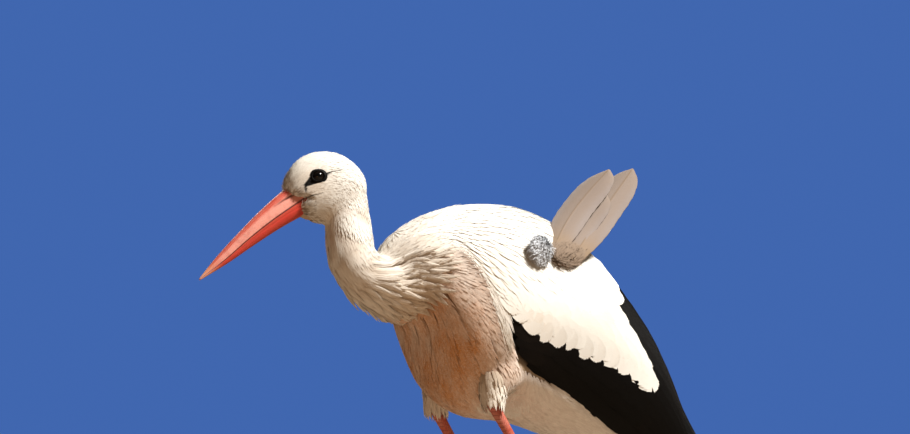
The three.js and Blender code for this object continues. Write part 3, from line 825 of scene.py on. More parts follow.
def skin_material(white, stained, bare, black):
    """Skin that shows between feathers, in the painted shade colour of the coat's roots, and the bare skin of
    the face.
    """
    material, tree, shader = new_material("stork skin")
    dust = placed(tree, "weathering")["Mask"]
    # Ochre dust and warm painted shade on the skin, from the same map as the coat.
    stain_and_shade = sums(tree, "MULTIPLY", reading(tree, "stain_and_shade"), sums(tree, "MULTIPLY_ADD", dust, 0.8, 0.5))
    folds = node(tree, "ShaderNodeTexVoronoi", {"Vector": object_place(tree), "Scale": 900.0})
    fed(tree, shader, {
        "Base Color": layered(tree, white, (stain_and_shade, stained), (reading(tree, "dark"), black),
                              (reading(tree, "bare"), bare)),
        "Roughness": 0.8, "Normal": bumped(tree, folds.outputs["Distance"], 0.4, 0.0004)})
    return material


def bill_material(name, base, ridge, tip, seam):
    """Horn: a red base, a paler band (wear and painted highlight) and tip, and dark lines of painted shade
    beside the seam and in the nostril slits; the lower half darkens at its base.
    """
    material, tree, shader = new_material(name)
    spot, parts = map_parts(tree, "horn")
    place = node(tree, "ShaderNodeCombineXYZ", {0: sums(tree, "MULTIPLY", parts[0], 0.045), 1: parts[1]})
    fibre = noise(tree, place.outputs[0], 0.9, 5.0, 0.65)
    cloud = noise(tree, spot, 0.11, 4.0, 0.6)
    fed(tree, shader, {
        "Base Color": layered(tree, base, (reading(tree, "ridge"), ridge),
                              (ranged(tree, fibre, 0.42, 0.72, 0.0, 0.8), ridge),
                              (ranged(tree, cloud, 0.5, 0.75, 0.0, 0.45), dimmed(base, 0.62)),
                              (reading(tree, "tip"), tip), (reading(tree, "seam"), seam)),
        "Roughness": ranged(tree, cloud, 0.0, 1.0, 0.3, 0.55),
        "Normal": bumped(tree, fibre, 0.35, 0.0005),
        "Subsurface Weight": 0.08, "Subsurface Radius": (0.004, 0.0012, 0.0008)})
    return material


def leg_material(base, pale, groove):
    """Scaly leg skin: red plates, darker grooves and a pale dusting."""
    material, tree, shader = new_material("leg scales")
    dust = placed(tree, "weathering", {"Size": 55.0})["Mask"]
    fed(tree, shader, {
        "Base Color": layered(tree, base, (sums(tree, "MULTIPLY", dust, reading(tree, "dust")), pale),
                              (reading(tree, "groove"), groove)),
        "Roughness": sums(tree, "MULTIPLY_ADD", dust, 0.25, 0.45),
        "Normal": bumped(tree, noise(tree, object_place(tree), 1400.0, 3.0), 0.3, 0.0004)})
    return material


def plain_horn(name, base, rough, scale, coat=0.0, gloss=0.5):
    """Dark uneven horn or hard skin."""
    material, tree, shader = new_material(name)
    grain = noise(tree, object_place(tree), scale, 4.0)
    fed(tree, shader, {
        "Base Color": layered(tree, base, (grain, dimmed(base, 0.5))),
        "Roughness": rough, "Coat Weight": coat, "Specular IOR Level": gloss,
        "Normal": bumped(tree, grain, 0.3, 0.0003)})
    return material


def eye_material(iris, pupil):
    material, tree, shader = new_material("stork eye")
    fed(tree, shader, {"Base Color": layered(tree, iris, (reading(tree, "pupil"), pupil)),
                       "Roughness": 0.1, "Specular IOR Level": 0.3})
    return material


def material_named(name):
    """A material by its name, made at its first use."""
    found = bpy.data.materials.get(name)
    if found:
        return found
    coat = bpy.context.scene.stork_coat
    horn = bpy.context.scene.stork_horn
    if "feather barbs" not in bpy.data.node_groups:
        barb_group()
        dust_group()
    white, cream, black = coat.white, coat.cream, coat.black
    makers = {
        "white plumage": lambda: plumage(name, white, cream, coat.painted_root_shade, bump=0.15),
        # The breast: ochre dust and warm painted shade, half as strong again as elsewhere, darkening to
        # painted shade in its folds.
        "breast plumage": lambda: plumage(name, white, coat.ochre, coat.painted_breast_shade, bump=0.15, dusty=1.5),
        "head plumage": lambda: plumage(name, white, cream, coat.face_shade, bump=0.15, depth=0.25),
        # Wing white dimmed to 0.86: painted shade that holds the brightly lit wing down; its roots darken to
        # painted shade.
        "wing plumage": lambda: plumage(name, dimmed(white, 0.86), cream, coat.painted_wing_root_shade, bump=0.12),
        "neck plumage": lambda: plumage(name, white, cream, coat.painted_root_shade, bump=0.25, slant=3.0),
        "black plumage": lambda: plumage(name, black, coat.brown, dimmed(black, 0.5), 0.5, 0.0, 0.5, 0.09),
        # Raised feathers: the grey of painted shade, browned towards their bases with a darker cream, and
        # painted root shade.
        "raised plumage": lambda: plumage(name, coat.shaded_underside, dimmed(cream, 0.6), coat.underside_root_shade, 0.7,
                                          bump=0.3),
        "down": lambda: plumage(name, coat.down, coat.down, dimmed(coat.down, 0.55), 0.9, 0.3, 0.1),
        "stork skin": lambda: skin_material(coat.painted_root_shade, cream, coat.bare, black),
        "upper bill": lambda: bill_material(name, horn.upper, horn.ridge, horn.tip, horn.seam),
        # The lower half's brighter band, in the upper half's red, is a painted highlight.
        "lower bill": lambda: bill_material(name, horn.lower, horn.upper, horn.tip, horn.seam),
        "leg scales": lambda: leg_material(horn.leg, horn.leg_pale, horn.leg_groove),
        "claw horn": lambda: plain_horn(name, horn.claw, 0.4, 500.0, 0.2),
        "eyelid": lambda: plain_horn(name, coat.bare, 0.6, 900.0, gloss=0.12),
        "stork eye": lambda: eye_material(horn.iris, (0.002, 0.002, 0.002)),
    }
    return makers[name]()


# --- Settings ---
def colour_of(name, description, default):
    return FloatVectorProperty(name=name, description=description, default=default, size=3,
                               min=0, max=1, subtype="COLOR")


class StorkCoatSettings(bpy.types.PropertyGroup):
    seed: IntProperty(name="Seed", description="Which random layout the feathers take", default=7)
    density: FloatProperty(name="Density", description="Feathers planted, as a share of the full coat",
                           default=1.0, min=0.1, max=1.2, subtype="FACTOR")
    white: colour_of("White", "Clean white feathers", (0.92, 0.905, 0.86))
    cream: colour_of("Cream", "Feathers stained with ochre dust", (0.58, 0.38, 0.19))
    # Painted shade: the white coat's colour at its roots and in its depths, also the skin's colour.
    painted_root_shade: colour_of("Depth", "White feathers at their roots", (0.48, 0.37, 0.27))
    # Ochre of the breast: ochre dust, deepened with the warm painted shade of a breast turned from the light.
    ochre: colour_of("Ochre", "Stained feathers of the breast", (0.68, 0.29, 0.085))
    # Painted shade: the dark colour in the breast's folds and in the shadow by the wing's bend.
    painted_breast_shade: colour_of("Furrows", "Between the feathers of the breast", (0.18, 0.09, 0.04))
    face_shade: colour_of("Face shade", "Between the feathers of the face", (0.30, 0.21, 0.13))
    # Painted shade at the roots of the back and wing feathers.
    painted_wing_root_shade: colour_of("Wing depth", "Feathers of back and wings at their roots", (0.74, 0.68, 0.60))
    black: colour_of("Black", "Flight feathers", (0.002, 0.0018, 0.0018))
    brown: colour_of("Brown", "Worn black feathers", (0.02, 0.013, 0.009))
    # Painted shade: white feathers seen from below, darkened to grey for the shade they lie in.
    shaded_underside: colour_of("Underside", "Raised feathers seen from below", (0.25, 0.21, 0.195))
    # Painted shade at the raised feathers' roots.
    underside_root_shade: colour_of("Underside depth", "Raised feathers at their roots", (0.22, 0.145, 0.085))
    # Grey, not white: the down's colour carries the shade it lies in, painted.
    down: colour_of("Down", "The tuft of down on the back", (0.66, 0.68, 0.72))
    bare: colour_of("Bare skin", "The bare skin of the face", (0.003, 0.0025, 0.0025))


class StorkHornSettings(bpy.types.PropertyGroup):
    upper: colour_of("Upper bill", "The upper half of the bill", (0.60, 0.075, 0.045))
    lower: colour_of("Lower bill", "The lower half of the bill", (0.56, 0.038, 0.022))
    # Pale band of the upper half: wear with a painted highlight.
    ridge: colour_of("Ridge", "The pale worn band of the bill", (0.82, 0.34, 0.27))
    tip: colour_of("Tip", "The worn tip of the bill", (0.75, 0.36, 0.20))
    # Painted shade along the gap between the halves and in the nostril slits, also the darker base of the
    # lower half.
    seam: colour_of("Seam", "The lines beside the gap of the bill", (0.10, 0.012, 0.008))
    leg: colour_of("Leg", "The red plates of the leg", (0.52, 0.085, 0.045))
    leg_pale: colour_of("Leg dust", "Pale dust on the leg", (0.72, 0.48, 0.40))
    leg_groove: colour_of("Leg groove", "Between the plates of the leg", (0.20, 0.025, 0.015))
    claw: colour_of("Claw", "Claws", (0.05, 0.035, 0.028))
    iris: colour_of("Iris", "The dark iris", (0.006, 0.004, 0.003))


class StorkStageSettings(bpy.types.PropertyGroup):
    floor: colour_of("Floor", "The floor's colour", (0.27, 0.205, 0.145))
    backdrop: colour_of("Backdrop", "The backdrop's colour", (0.052, 0.135, 0.43))
    azimuth: FloatProperty(name="Azimuth", description="Camera round the bird; 0 looks along +Y",
                           default=math.radians(-32), subtype="ANGLE")
    elevation: FloatProperty(name="Elevation", description="Camera above the bird; negative looks up",
                             default=math.radians(-9), subtype="ANGLE")
    distance: FloatProperty(name="Distance", description="Camera to the middle of the picture",
                            default=3.1, min=1, unit="LENGTH")
    lens: FloatProperty(name="Lens", description="Focal length", default=106.64, min=20, unit="CAMERA")
    key: FloatProperty(name="Key light", description="Power of the main light", default=218, min=0,
                       unit="POWER")
    ambient: FloatProperty(name="Ambient", description="Strength of the even light all round", default=0.05,
                           min=0)
    glow: FloatProperty(name="Floor glow", description="Soft warm light given off by the floor", default=0.05,
                        min=0)
    fill: FloatProperty(name="Fill light", description="Power of the warm light from below", default=16,
                        min=0, unit="POWER")


# --- Pieces ---
SKIN_VOXEL = 0.0022
LEG_VOXEL = 0.00085


def skin_depth(station, angle):
    """How deep the skin lies under the outline."""
    away = np.abs(angle)
    wing = smooth(wing_edge(station, LOWER) + 0.10 - away, 0, 0.25) * smooth(station, 0.9, 2.2)
    return 6 + 1.5 * wing + 4.5 * dark_share(station, away) + RUMP_TAPER * smooth(station, 7.2, TRUNK_END)


def dark_share(station, away):
    """1 where the folded wing is black."""
    above = smooth(wing_edge(station, LOWER) - away, -0.02, 0.1)
    band = smooth(away - wing_edge(station, BORDER), -0.04, 0.08) * above
    rear = smooth(station, 6.55, 6.8) * above
    return np.maximum(band * smooth(station, 2.9, 3.3), rear)


def body_shell():
    """The trunk under its coat, drawn in where the black feathers and the rump lie thicker."""
    stations = np.linspace(0, TRUNK_END, 90)[:, None]
    angles = np.linspace(-math.pi, math.pi, 96, endpoint=False)[None]
    return tube(outline(stations, angles, skin_depth(stations, angles)))


def head_shell(depth):
    """The head under its coat, with rings that follow its crown and throat."""
    row = head_at(np.linspace(0, len(HEAD) - 1, 48))
    turn = turns(48)
    middle, up, tall = spans(in_head(row[:, 0], row[:, 1], 0), in_head(row[:, 2], row[:, 3], 0))
    up = up / tall[:, None] * (tall[:, None] - depth)
    return tube(middle[:, None] + up[:, None] * np.cos(turn)[None, :, None]
                + ACROSS_HEAD * ((row[:, 4, None] - depth) * np.sin(turn))[..., None])


def ringed(row, up, across, sides, depth=0.0):
    """Rings round rows of X, Y, Z, half size along up and half size across."""
    turn = turns(sides)
    up, across = (np.broadcast_to(axis, (len(row), 3))[:, None] for axis in (up, across))
    return (row[:, None, :3] + up * ((row[:, 3, None] - depth) * np.cos(turn))[..., None]
            + across * ((row[:, 4, None] - depth) * np.sin(turn))[..., None])


def neck_shell(depth):
    """The neck under its coat, turned with the head at its upper end."""
    steps = np.linspace(0.04, 1, 60) * (len(NECK) - 1)
    row = neck_at(steps)
    ahead = unit(neck_at(steps + 0.05)[:, :3] - neck_at(steps - 0.05)[:, :3])
    turn = HEAD_YAW * np.clip(1 - steps / 4, 0, 1)
    across = np.stack([-np.sin(turn), -np.cos(turn), 0 * turn], 1)
    across = unit(across - ahead * (across * ahead).sum(1, keepdims=True))
    return tube(ringed(row, unit(np.cross(ahead, across)), across, 56, depth))


def limb_rings(rows, steps, sides):
    """Rings that stand square to a limb."""
    at = track(rows)
    stations = np.linspace(0, len(rows) - 1, steps)
    row = at(stations)
    ahead = unit(at(stations + 0.02)[:, :3] - at(stations - 0.02)[:, :3])
    across = unit(np.array([0, 1.0, 0]) - ahead * ahead[:, 1:2])
    return ringed(row, np.cross(ahead, across), across, sides)


def thigh_shell(side, depth):
    """The thigh down to where its feathers end."""
    rows = [(x, side * y, z, a - depth, b - depth) for x, y, z, a, b in THIGH[:-1]]
    return tube(limb_rings(rows, 30, 32))


class STORK_OT_skin(bpy.types.Operator):
    """One skin for the head, neck, trunk and thighs, inside them by the depth of the coat"""
    bl_idname = "stork.skin"
    bl_label = "Skin"

    def execute(self, context):
        shells = [body_shell(), neck_shell(4.0), head_shell(2.4)]
        shells += [thigh_shell(side, 5.0) for side in SIDES.values()]
        item = joined("skin", [made(f"shell_{i}", *shell) for i, shell in enumerate(shells)])
        applied(item, "REMESH", mode="VOXEL", voxel_size=SKIN_VOXEL)
        applied(item, "SMOOTH", factor=0.5, iterations=10)
        points = points_of(item)
        nape = item.vertex_groups.new(name="nape")
        run = along_spine(points)[0]
        back = smooth(run, 30, 50) * (1 - smooth(run, 95, 125)) * smooth(from_head(points)[0], -18, 2)
        for index in np.flatnonzero(back > 0.02).tolist():
            nape.add([index], back[index], "REPLACE")
        applied(item, "SMOOTH", factor=0.5, iterations=30, vertex_group="nape")
        item.vertex_groups.clear()
        item.data.shade_smooth()
        points = self.cleared_for_bill(points_of(item))
        put_points(item, points)
        station, away = station_of(points)
        trunk = (along_spine(points)[0] > 240) & (station > 1)
        give_values(item.data, {"stain_and_shade": stain_and_shade_at(points), "bare": bare_at(points),
                                "dark": np.where(trunk, dark_share(station, away), 0)})
        finished(item, "stork skin", "plumage_white", "trunk", "neck_lower", "neck_upper", "head",
                 "thigh_left", "thigh_right")
        return {"FINISHED"}

    def cleared_for_bill(self, points):
        """Draws the face in at the base of the bill, so that the horn shows up to the first feathers."""
        along, height, out = from_head(points)
        reach = np.maximum(bill_reach(points), 0.1)
        ramp = np.interp(height, [553, 566], [-3.0, -6.0])
        front = smooth((before_face(points) - ramp) / (1.0 - ramp), 0, 1)
        front = front * (reach < 3.0) * (along < BILL_START)
        return in_head(along, height, out * (1 - front * (1 - np.minimum(1, 0.75 / reach))))


def fine_coat(low, high, seed, size, hide, keep=None):
    """Blades on the stretch of the body between two distances from the face."""
    density = bpy.context.scene.stork_coat.density

    def spacing_at(points):
        run = along_spine(points)[0]
        wanted = (run >= low) & (run < high)
        if low < 90:
            wanted &= (before_face(points) < 0.3) & (bare_at(points, EYE_RING) < 0.5)
        if keep is not None:
            wanted &= keep(points)
        return np.where(wanted, size.spacing(run) / math.sqrt(density), 0)

    roots, ups = hide.scatter(spacing_at, seed)
    return planted(hide, roots, ups, size, seed)


def sizes(marks, spacing, length, half, root, tip, shape=LANCE, section=HAIR, *, thick, swirl, clump, puff,
          cup=0.1, soft=0.85, dark=None, droop=lambda run, points: 0 * run, lift=one_at, tone=none_at,
          fan=False):
    """A coat's sizes; those in the first rows follow the marks, which are distances from the face."""
    rows = dict(spacing=spacing, length=length, half=half, root=root, tip=tip, swirl=swirl, soft=soft)
    read = {key: (lambda run, row=np.broadcast_to(row, len(marks)): np.interp(run, marks, row))
            for key, row in rows.items()}
    return SimpleNamespace(**read, shape=shape, section=section, thick=thick, clump=clump, puff=puff,
                           cup=cup, dark=dark, droop=droop, lift=lift, tone=tone, fan=fan)


def seed_and_hide(context):
    return context.scene.stork_coat.seed, Hide(bpy.data.objects["skin"])


def breast_droop(run, points):
    """How steeply the feathers of neck and breast hang, more so the lower they grow."""
    steep = np.clip(0.42 + (470 - points[:, 2]) * 0.011, 0.05, 1.3)
    reach = ((points[:, 0] - 95) / 42) ** 2 + ((points[:, 2] - 368) / 26) ** 2
    thigh = np.exp(-reach) * (np.abs(points[:, 1]) > 34)
    return steep * smooth(run, 150, 215) * (1 - smooth(run, 290, 420)) + 1.8 * thigh


FOLD_SLANT = 26  # degrees round the breast for each station along it


def furrows(points):
    """Long soft folds that run down the breast from the neck's plumes, from 0 to 1; they lower the coat and
    are darkened with painted shade.
    """
    station, away = station_of(points)
    away = np.degrees(away)
    across = away - FOLD_SLANT * station
    folds = ripple(np.stack([across, 0.07 * (away + FOLD_SLANT * station), 0 * away], 1), 7.5, 21)
    run = along_spine(points)[0]
    return (smooth(folds, 0.15, 0.85) * smooth(across, 24, 36) * smooth(run, 190, 220)
            * (1 - smooth(run, 310, 400)))


def painted_hollow_shadow(points):
    """1 where a shadow is painted into the dip between the neck's plumes and the bend of the wing."""
    station, away = station_of(points)
    across = np.degrees(away) - FOLD_SLANT * station
    return np.exp(-((across - 25) / 8) ** 2) * smooth(station, 1.3, 1.8) * (1 - smooth(station, 2.9, 3.7))


def locks(points):
    """Soft narrow locks that run down the neck, from 0 between them to 1 on them."""
    run, ahead, centre = along_spine(points)
    away = points - centre
    around = np.arctan2(away[:, 1], away[:, 2] - 0.3 * away[:, 0])
    return smooth(ripple(np.stack([around * 22, 0.17 * run, 0 * run], 1), 5.5, 8), -0.7, 0.5)


def face_lift(points):
    """Ruffled feathers where the face meets the bill."""
    height = from_head(points)[1]
    near = np.exp(-(np.minimum(before_face(points) + 2, 0) / 7.0) ** 2)
    ragged = 0.6 + 0.9 * smooth(ripple(points, 5, 31), -0.5, 0.8)
    return 1 + near * ragged * (0.3 + 0.9 * np.exp(-((height - 556) / 6.0) ** 2))


class STORK_OT_head_coat(bpy.types.Operator):
    """Short fine feathers of the face, crown, cheeks and nape"""
    bl_idname = "stork.head_coat"
    bl_label = "Head feathers"

    def execute(self, context):
        seed, hide = seed_and_hide(context)
        size = sizes([0, 22, 45, 90], [1.0, 1.05, 1.15, 1.4], [6.0, 5.8, 7.0, 10], [0.5, 0.5, 0.6, 0.8],
                     [0.4, 0.5, 0.6, 0.9], [2.9, 1.8, 1.45, 1.8], NEEDLE, thick=0.3,
                     swirl=[0.8, 0.35, 0.08, 0.08], clump=6, puff=0.8, soft=[0.25, 0.68, 0.88, 0.86],
                     dark=bare_at, lift=face_lift,
                     # Painted shade between the ruffled feathers, strongest where the face meets the bill.
                     tone=lambda points: 0.75 * smooth(-before_face(points), 24, 0)
                     * smooth(ripple(points, 5, 31), 0.4, -0.5))
        coat = fine_coat(-20, 92, seed + 1, size, hide)
        coated("head_feathers", [coat], seed, "head plumage", "plumage_white")
        return {"FINISHED"}


class STORK_OT_neck_coat(bpy.types.Operator):
    """The neck's narrow feathers, and the long pointed plumes at its root"""
    bl_idname = "stork.neck_coat"
    bl_label = "Neck feathers"

    def execute(self, context):
        seed, hide = seed_and_hide(context)
        size = sizes([80, 130, 180, 240], [1.7, 1.9, 2.25, 2.6], [11, 16, 20, 24], [0.75, 0.9, 1.1, 1.4],
                     [1.0, 1.7, 1.9, 2.1], [2.0, 2.9, 3.2, 3.4], thick=0.4, swirl=[0.06, 0.08, 0.08, 0.1],
                     clump=22, puff=0.4, soft=[0.86, 0.8, 0.72, 0.75], fan=True,
                     lift=lambda points: 0.75 + 0.5 * locks(points),
                     # Painted shade between the locks.
                     tone=lambda points: 0.55 * (1 - locks(points)))
        coat = fine_coat(82, 222, seed + 2, size, hide)
        coated("neck_feathers", [coat], seed, "neck plumage", "plumage_cream")
        coated("neck_plumes", self.plumes(hide, seed + 3), seed, "neck plumage", "plumage_cream")
        return {"FINISHED"}

    def plumes(self, hide, seed):
        """Long pointed plumes that fan out over the shoulders and the breast, row over row."""
        rng = np.random.default_rng(seed)
        last = len(PLUME_TIPS) - 1
        station_at, angle_at = (lambda place, row=row: np.interp(place, np.arange(last + 1), row)
                                for row in PLUME_TIPS.T)
        tips, sides, backs = [], [], []
        for side in SIDES.values():
            for row, count in enumerate((14, 13, 13, 12, 11, 10)):
                place = (np.arange(count) + rng.uniform(0.15, 0.85, count)) / count * last
                tips.append(outline(station_at(place), side * np.radians(angle_at(place)), 2.0))
                backs.append(11.5 * row + rng.uniform(-4, 4, count))
                sides.append(place + 20 * (side > 0))
        tips, backs, sides = np.concatenate(tips), np.concatenate(backs), np.concatenate(sides)
        heading = unit(tips - FAN)
        tips = tips - heading * backs[:, None]
        length = rng.uniform(42, 58, len(tips)) - 0.2 * backs
        share = PLUME[:, 0]
        spots = tips[:, None] - (heading * length[:, None])[:, None] * (1 - share)[None, :, None]
        feet, ups = hide.foot(spots.reshape(-1, 3))
        feet, ups = feet.reshape(spots.shape), ups.reshape(spots.shape)
        across = unit(np.cross(ups, np.repeat(heading[:, None], len(share), 1)))
        bow = rng.normal(size=(len(tips), 1)) * 2.2 * np.sin(math.pi * share)
        bow = bow + rng.normal(size=(len(tips), 1)) * share
        high = rng.uniform(7.0, 10.5, (len(tips), 1))
        feet = feet + across * bow[..., None] + ups * (2.0 + (high - 2.0) * share ** 1.3)[..., None]
        half = rng.uniform(3.0, 4.5, len(tips))
        places = spread_places(sides, backs)
        coats = [Coat(feet, ups, PLUME, half, 0.8, places, LEAF, 0.5, soft=0.35)]
        strands = 6
        wide = half[:, None, None]
        off = rng.uniform(-1, 1, (len(tips), strands, 1)) * (wide * 0.95)
        taper = np.sin(math.pi * np.clip(share * 0.86 + 0.1, 0, 1))
        above = 0.45 - 0.5 * (off / wide) ** 2 * taper * wide
        lines = feet[:, None] + across[:, None] * (off * taper)[..., None] + ups[:, None] * above[..., None]
        coats.append(Coat(lines.reshape(-1, len(share), 3), np.repeat(ups, strands, 0), PLUME, 0.4, 0.3,
                          np.repeat(places, strands, 0), HAIR, 0.0, soft=0.45))
        return coats


def off_wing(points, margin):
    """True on the trunk outside the folded wings."""
    station, away = station_of(points)
    under = (away > wing_edge(station, UPPER) + margin) & (away < wing_edge(station, LOWER) - margin)
    return ~(under & (station > 1.4))


def on_thigh(points):
    """True on the feathered top of a leg."""
    reach = np.hypot(points[:, 0] - 96, (np.abs(points[:, 1]) - LEG_OUT + 4) * 1.25)
    return (points[:, 2] < 376) & (reach < 38) & (np.abs(points[:, 1]) > 30)


class STORK_OT_body_coat(bpy.types.Operator):
    """The contour feathers of breast, belly, back, rump and thighs"""
    bl_idname = "stork.body_coat"
    bl_label = "Body feathers"

    def execute(self, context):
        seed, hide = seed_and_hide(context)
        marks = [210, 260, 340, 700]
        under = sizes(marks, [2.35, 2.5, 3.1, 4.4], [22, 26, 30, 34], [1.3, 1.6, 2.2, 3.2],
                      [1.8, 1.8, 1.6, 1.6], [3.4, 3.4, 3.2, 3.0], thick=0.4, swirl=0.05, clump=40,
                      puff=0.25, soft=0.86, droop=breast_droop,
                      lift=lambda points: 1.1 - 0.5 * furrows(points),
                      # Painted shade in the folds, and the painted shadow by the bend of the wing.
                      tone=lambda points: 0.85 * np.maximum(furrows(points), painted_hollow_shadow(points)))
        for name, low, high in (("breast_feathers", 214, 305), ("belly_feathers", 305, 900)):
            coat = fine_coat(low, high, seed + 4, under, hide,
                             lambda points: off_wing(points, 0.0) & (station_of(points)[1] > 0.9))
            coated(name, [coat], seed, "breast plumage", "plumage_white")

        over = sizes(marks, [2.6, 3.6, 4.8, 6.2], [22, 30, 40, 46], [2.2, 3.4, 5.0, 6.5],
                     [2.4, 3.0, 3.6, 3.6], [3.4, 3.8, 4.3, 4.5], PETAL, LEAF, thick=0.2, swirl=0.05,
                     clump=60, puff=0.2, cup=0.05, soft=0.9)
        coat = fine_coat(205, 900, seed + 5, over, hide,
                         lambda points: off_wing(points, 0.22) & self.upper(points))
        coated("back_feathers", [coat], seed, "wing plumage", "plumage_white")

        thigh = sizes([0], 1.9, 26, 1.3, 1.7, 3.6, thick=0.5, swirl=0.1, clump=18, puff=0.4, cup=0.15,
                      droop=lambda run, points: 2.2 + 0 * run,
                      lift=lambda points: 0.1 + smooth(376 - points[:, 2], 0, 30),
                      # Painted shade towards the top of the thigh, under the belly.
                      tone=lambda points: 0.7 * smooth(points[:, 2], 350, 376))
        coat = fine_coat(215, 900, seed + 6, thigh, hide, on_thigh)
        coated("thigh_feathers", [coat, *self.shin_tufts(seed)], seed, "white plumage", "plumage_white")
        return {"FINISHED"}

    def upper(self, points):
        """True on the back and shoulders, down to where the folded wings meet over the rump."""
        station, away = station_of(points)
        return (away <= 1.1) & (points[:, 0] > -40) & (station < 5.0)

    def shin_tufts(self, seed):
        """Feathers that reach down over the bare leg from the end of the thigh."""
        rng = np.random.default_rng(seed + 60)
        count, share = 760, LANCE[:, 0]
        for side in SIDES.values():
            drop = rng.random(count)
            turn = rng.uniform(0, 2 * math.pi, count)
            start = np.array([83.0, side * 60.5, 380.0]) + drop[:, None] * np.array([-1, 0, -27.0])
            round_it = np.stack([np.cos(turn), np.sin(turn), 0 * turn], 1)
            root = start + round_it * (11 - 4 * drop)[:, None]
            length = rng.uniform(16, 26, count)
            down = unit(np.array([0.18, 0, -1.0]) + round_it * np.array([0.05, 0.05, 0])
                        + rng.normal(size=(count, 3)) * 0.05)
            feet = root[:, None] + down[:, None] * (length[:, None] * share)[..., None]
            feet = feet + round_it[:, None] * (5 * np.sin(2.5 * share))[:, None]
            ups = np.repeat(round_it[:, None], len(share), 1)
            yield Coat(feet, ups, LANCE, 1.5, 0.6, spread_places(turn, drop), HAIR, 0.15,
                       # Painted shade on the tufts that start highest, under the thigh.
                       tone=0.75 * (1 - smooth(drop, 0, 0.4)), soft=0.75)


def wing_feet(side, start, end, depth, shape, dip=0.0):
    """Feet and ups of blades between two places of station and angle on the folded wing."""
    share = shape[None, :, 0]
    station, angle, deep = (a[:, None] + (b - a)[:, None] * share
                            for a, b in zip((*start, depth[0]), (*end, depth[1])))
    return laid(station, side * angle, deep + dip * smooth(share, 0.7, 1.0))


def steps_at(station, angle):
    """Millimetres for each station along the wing and for each radian round it."""
    along = outline(station + 0.05, angle, 0) - outline(station - 0.05, angle, 0)
    around = outline(station, angle + 0.01, 0) - outline(station, angle - 0.01, 0)
    return np.linalg.norm(along, axis=-1) / 0.1, np.linalg.norm(around, axis=-1) / 0.02


def white_end(angle):
    """The station where the white of the folded wing gives way to black, by angle in radians."""
    return np.interp(np.degrees(angle), [0, 35, 47, 60, 66, 72, 77, 82, 94],
                     [5.6, 5.8, 6.0, 6.0, 5.8, 6.08, 6.38, 6.8, 7.06])


def covert_roots(rng, first, last):
    """Roots of the white coverts in staggered rows, as station, angle and size."""
    roots = []
    station, row = first, 0
    while station < last:
        high, low = float(wing_edge(station, UPPER)) - 0.05, float(white_border(station)) - 0.01
        along, around = steps_at(station, (high + low) / 2)
        size = float(np.interp(station, [1, 2.5, 4, 6], [0.42, 0.55, 0.85, 1.0]))
        pace = 10.0 * size / float(around)
        for angle in np.arange(high + (row % 2) * pace / 2, low, pace):
            roots.append((station + rng.normal() * 0.05, angle + rng.normal() * pace * 0.18, size))
        station += 9.0 * size / float(along)
        row += 1
    return np.array(roots).T


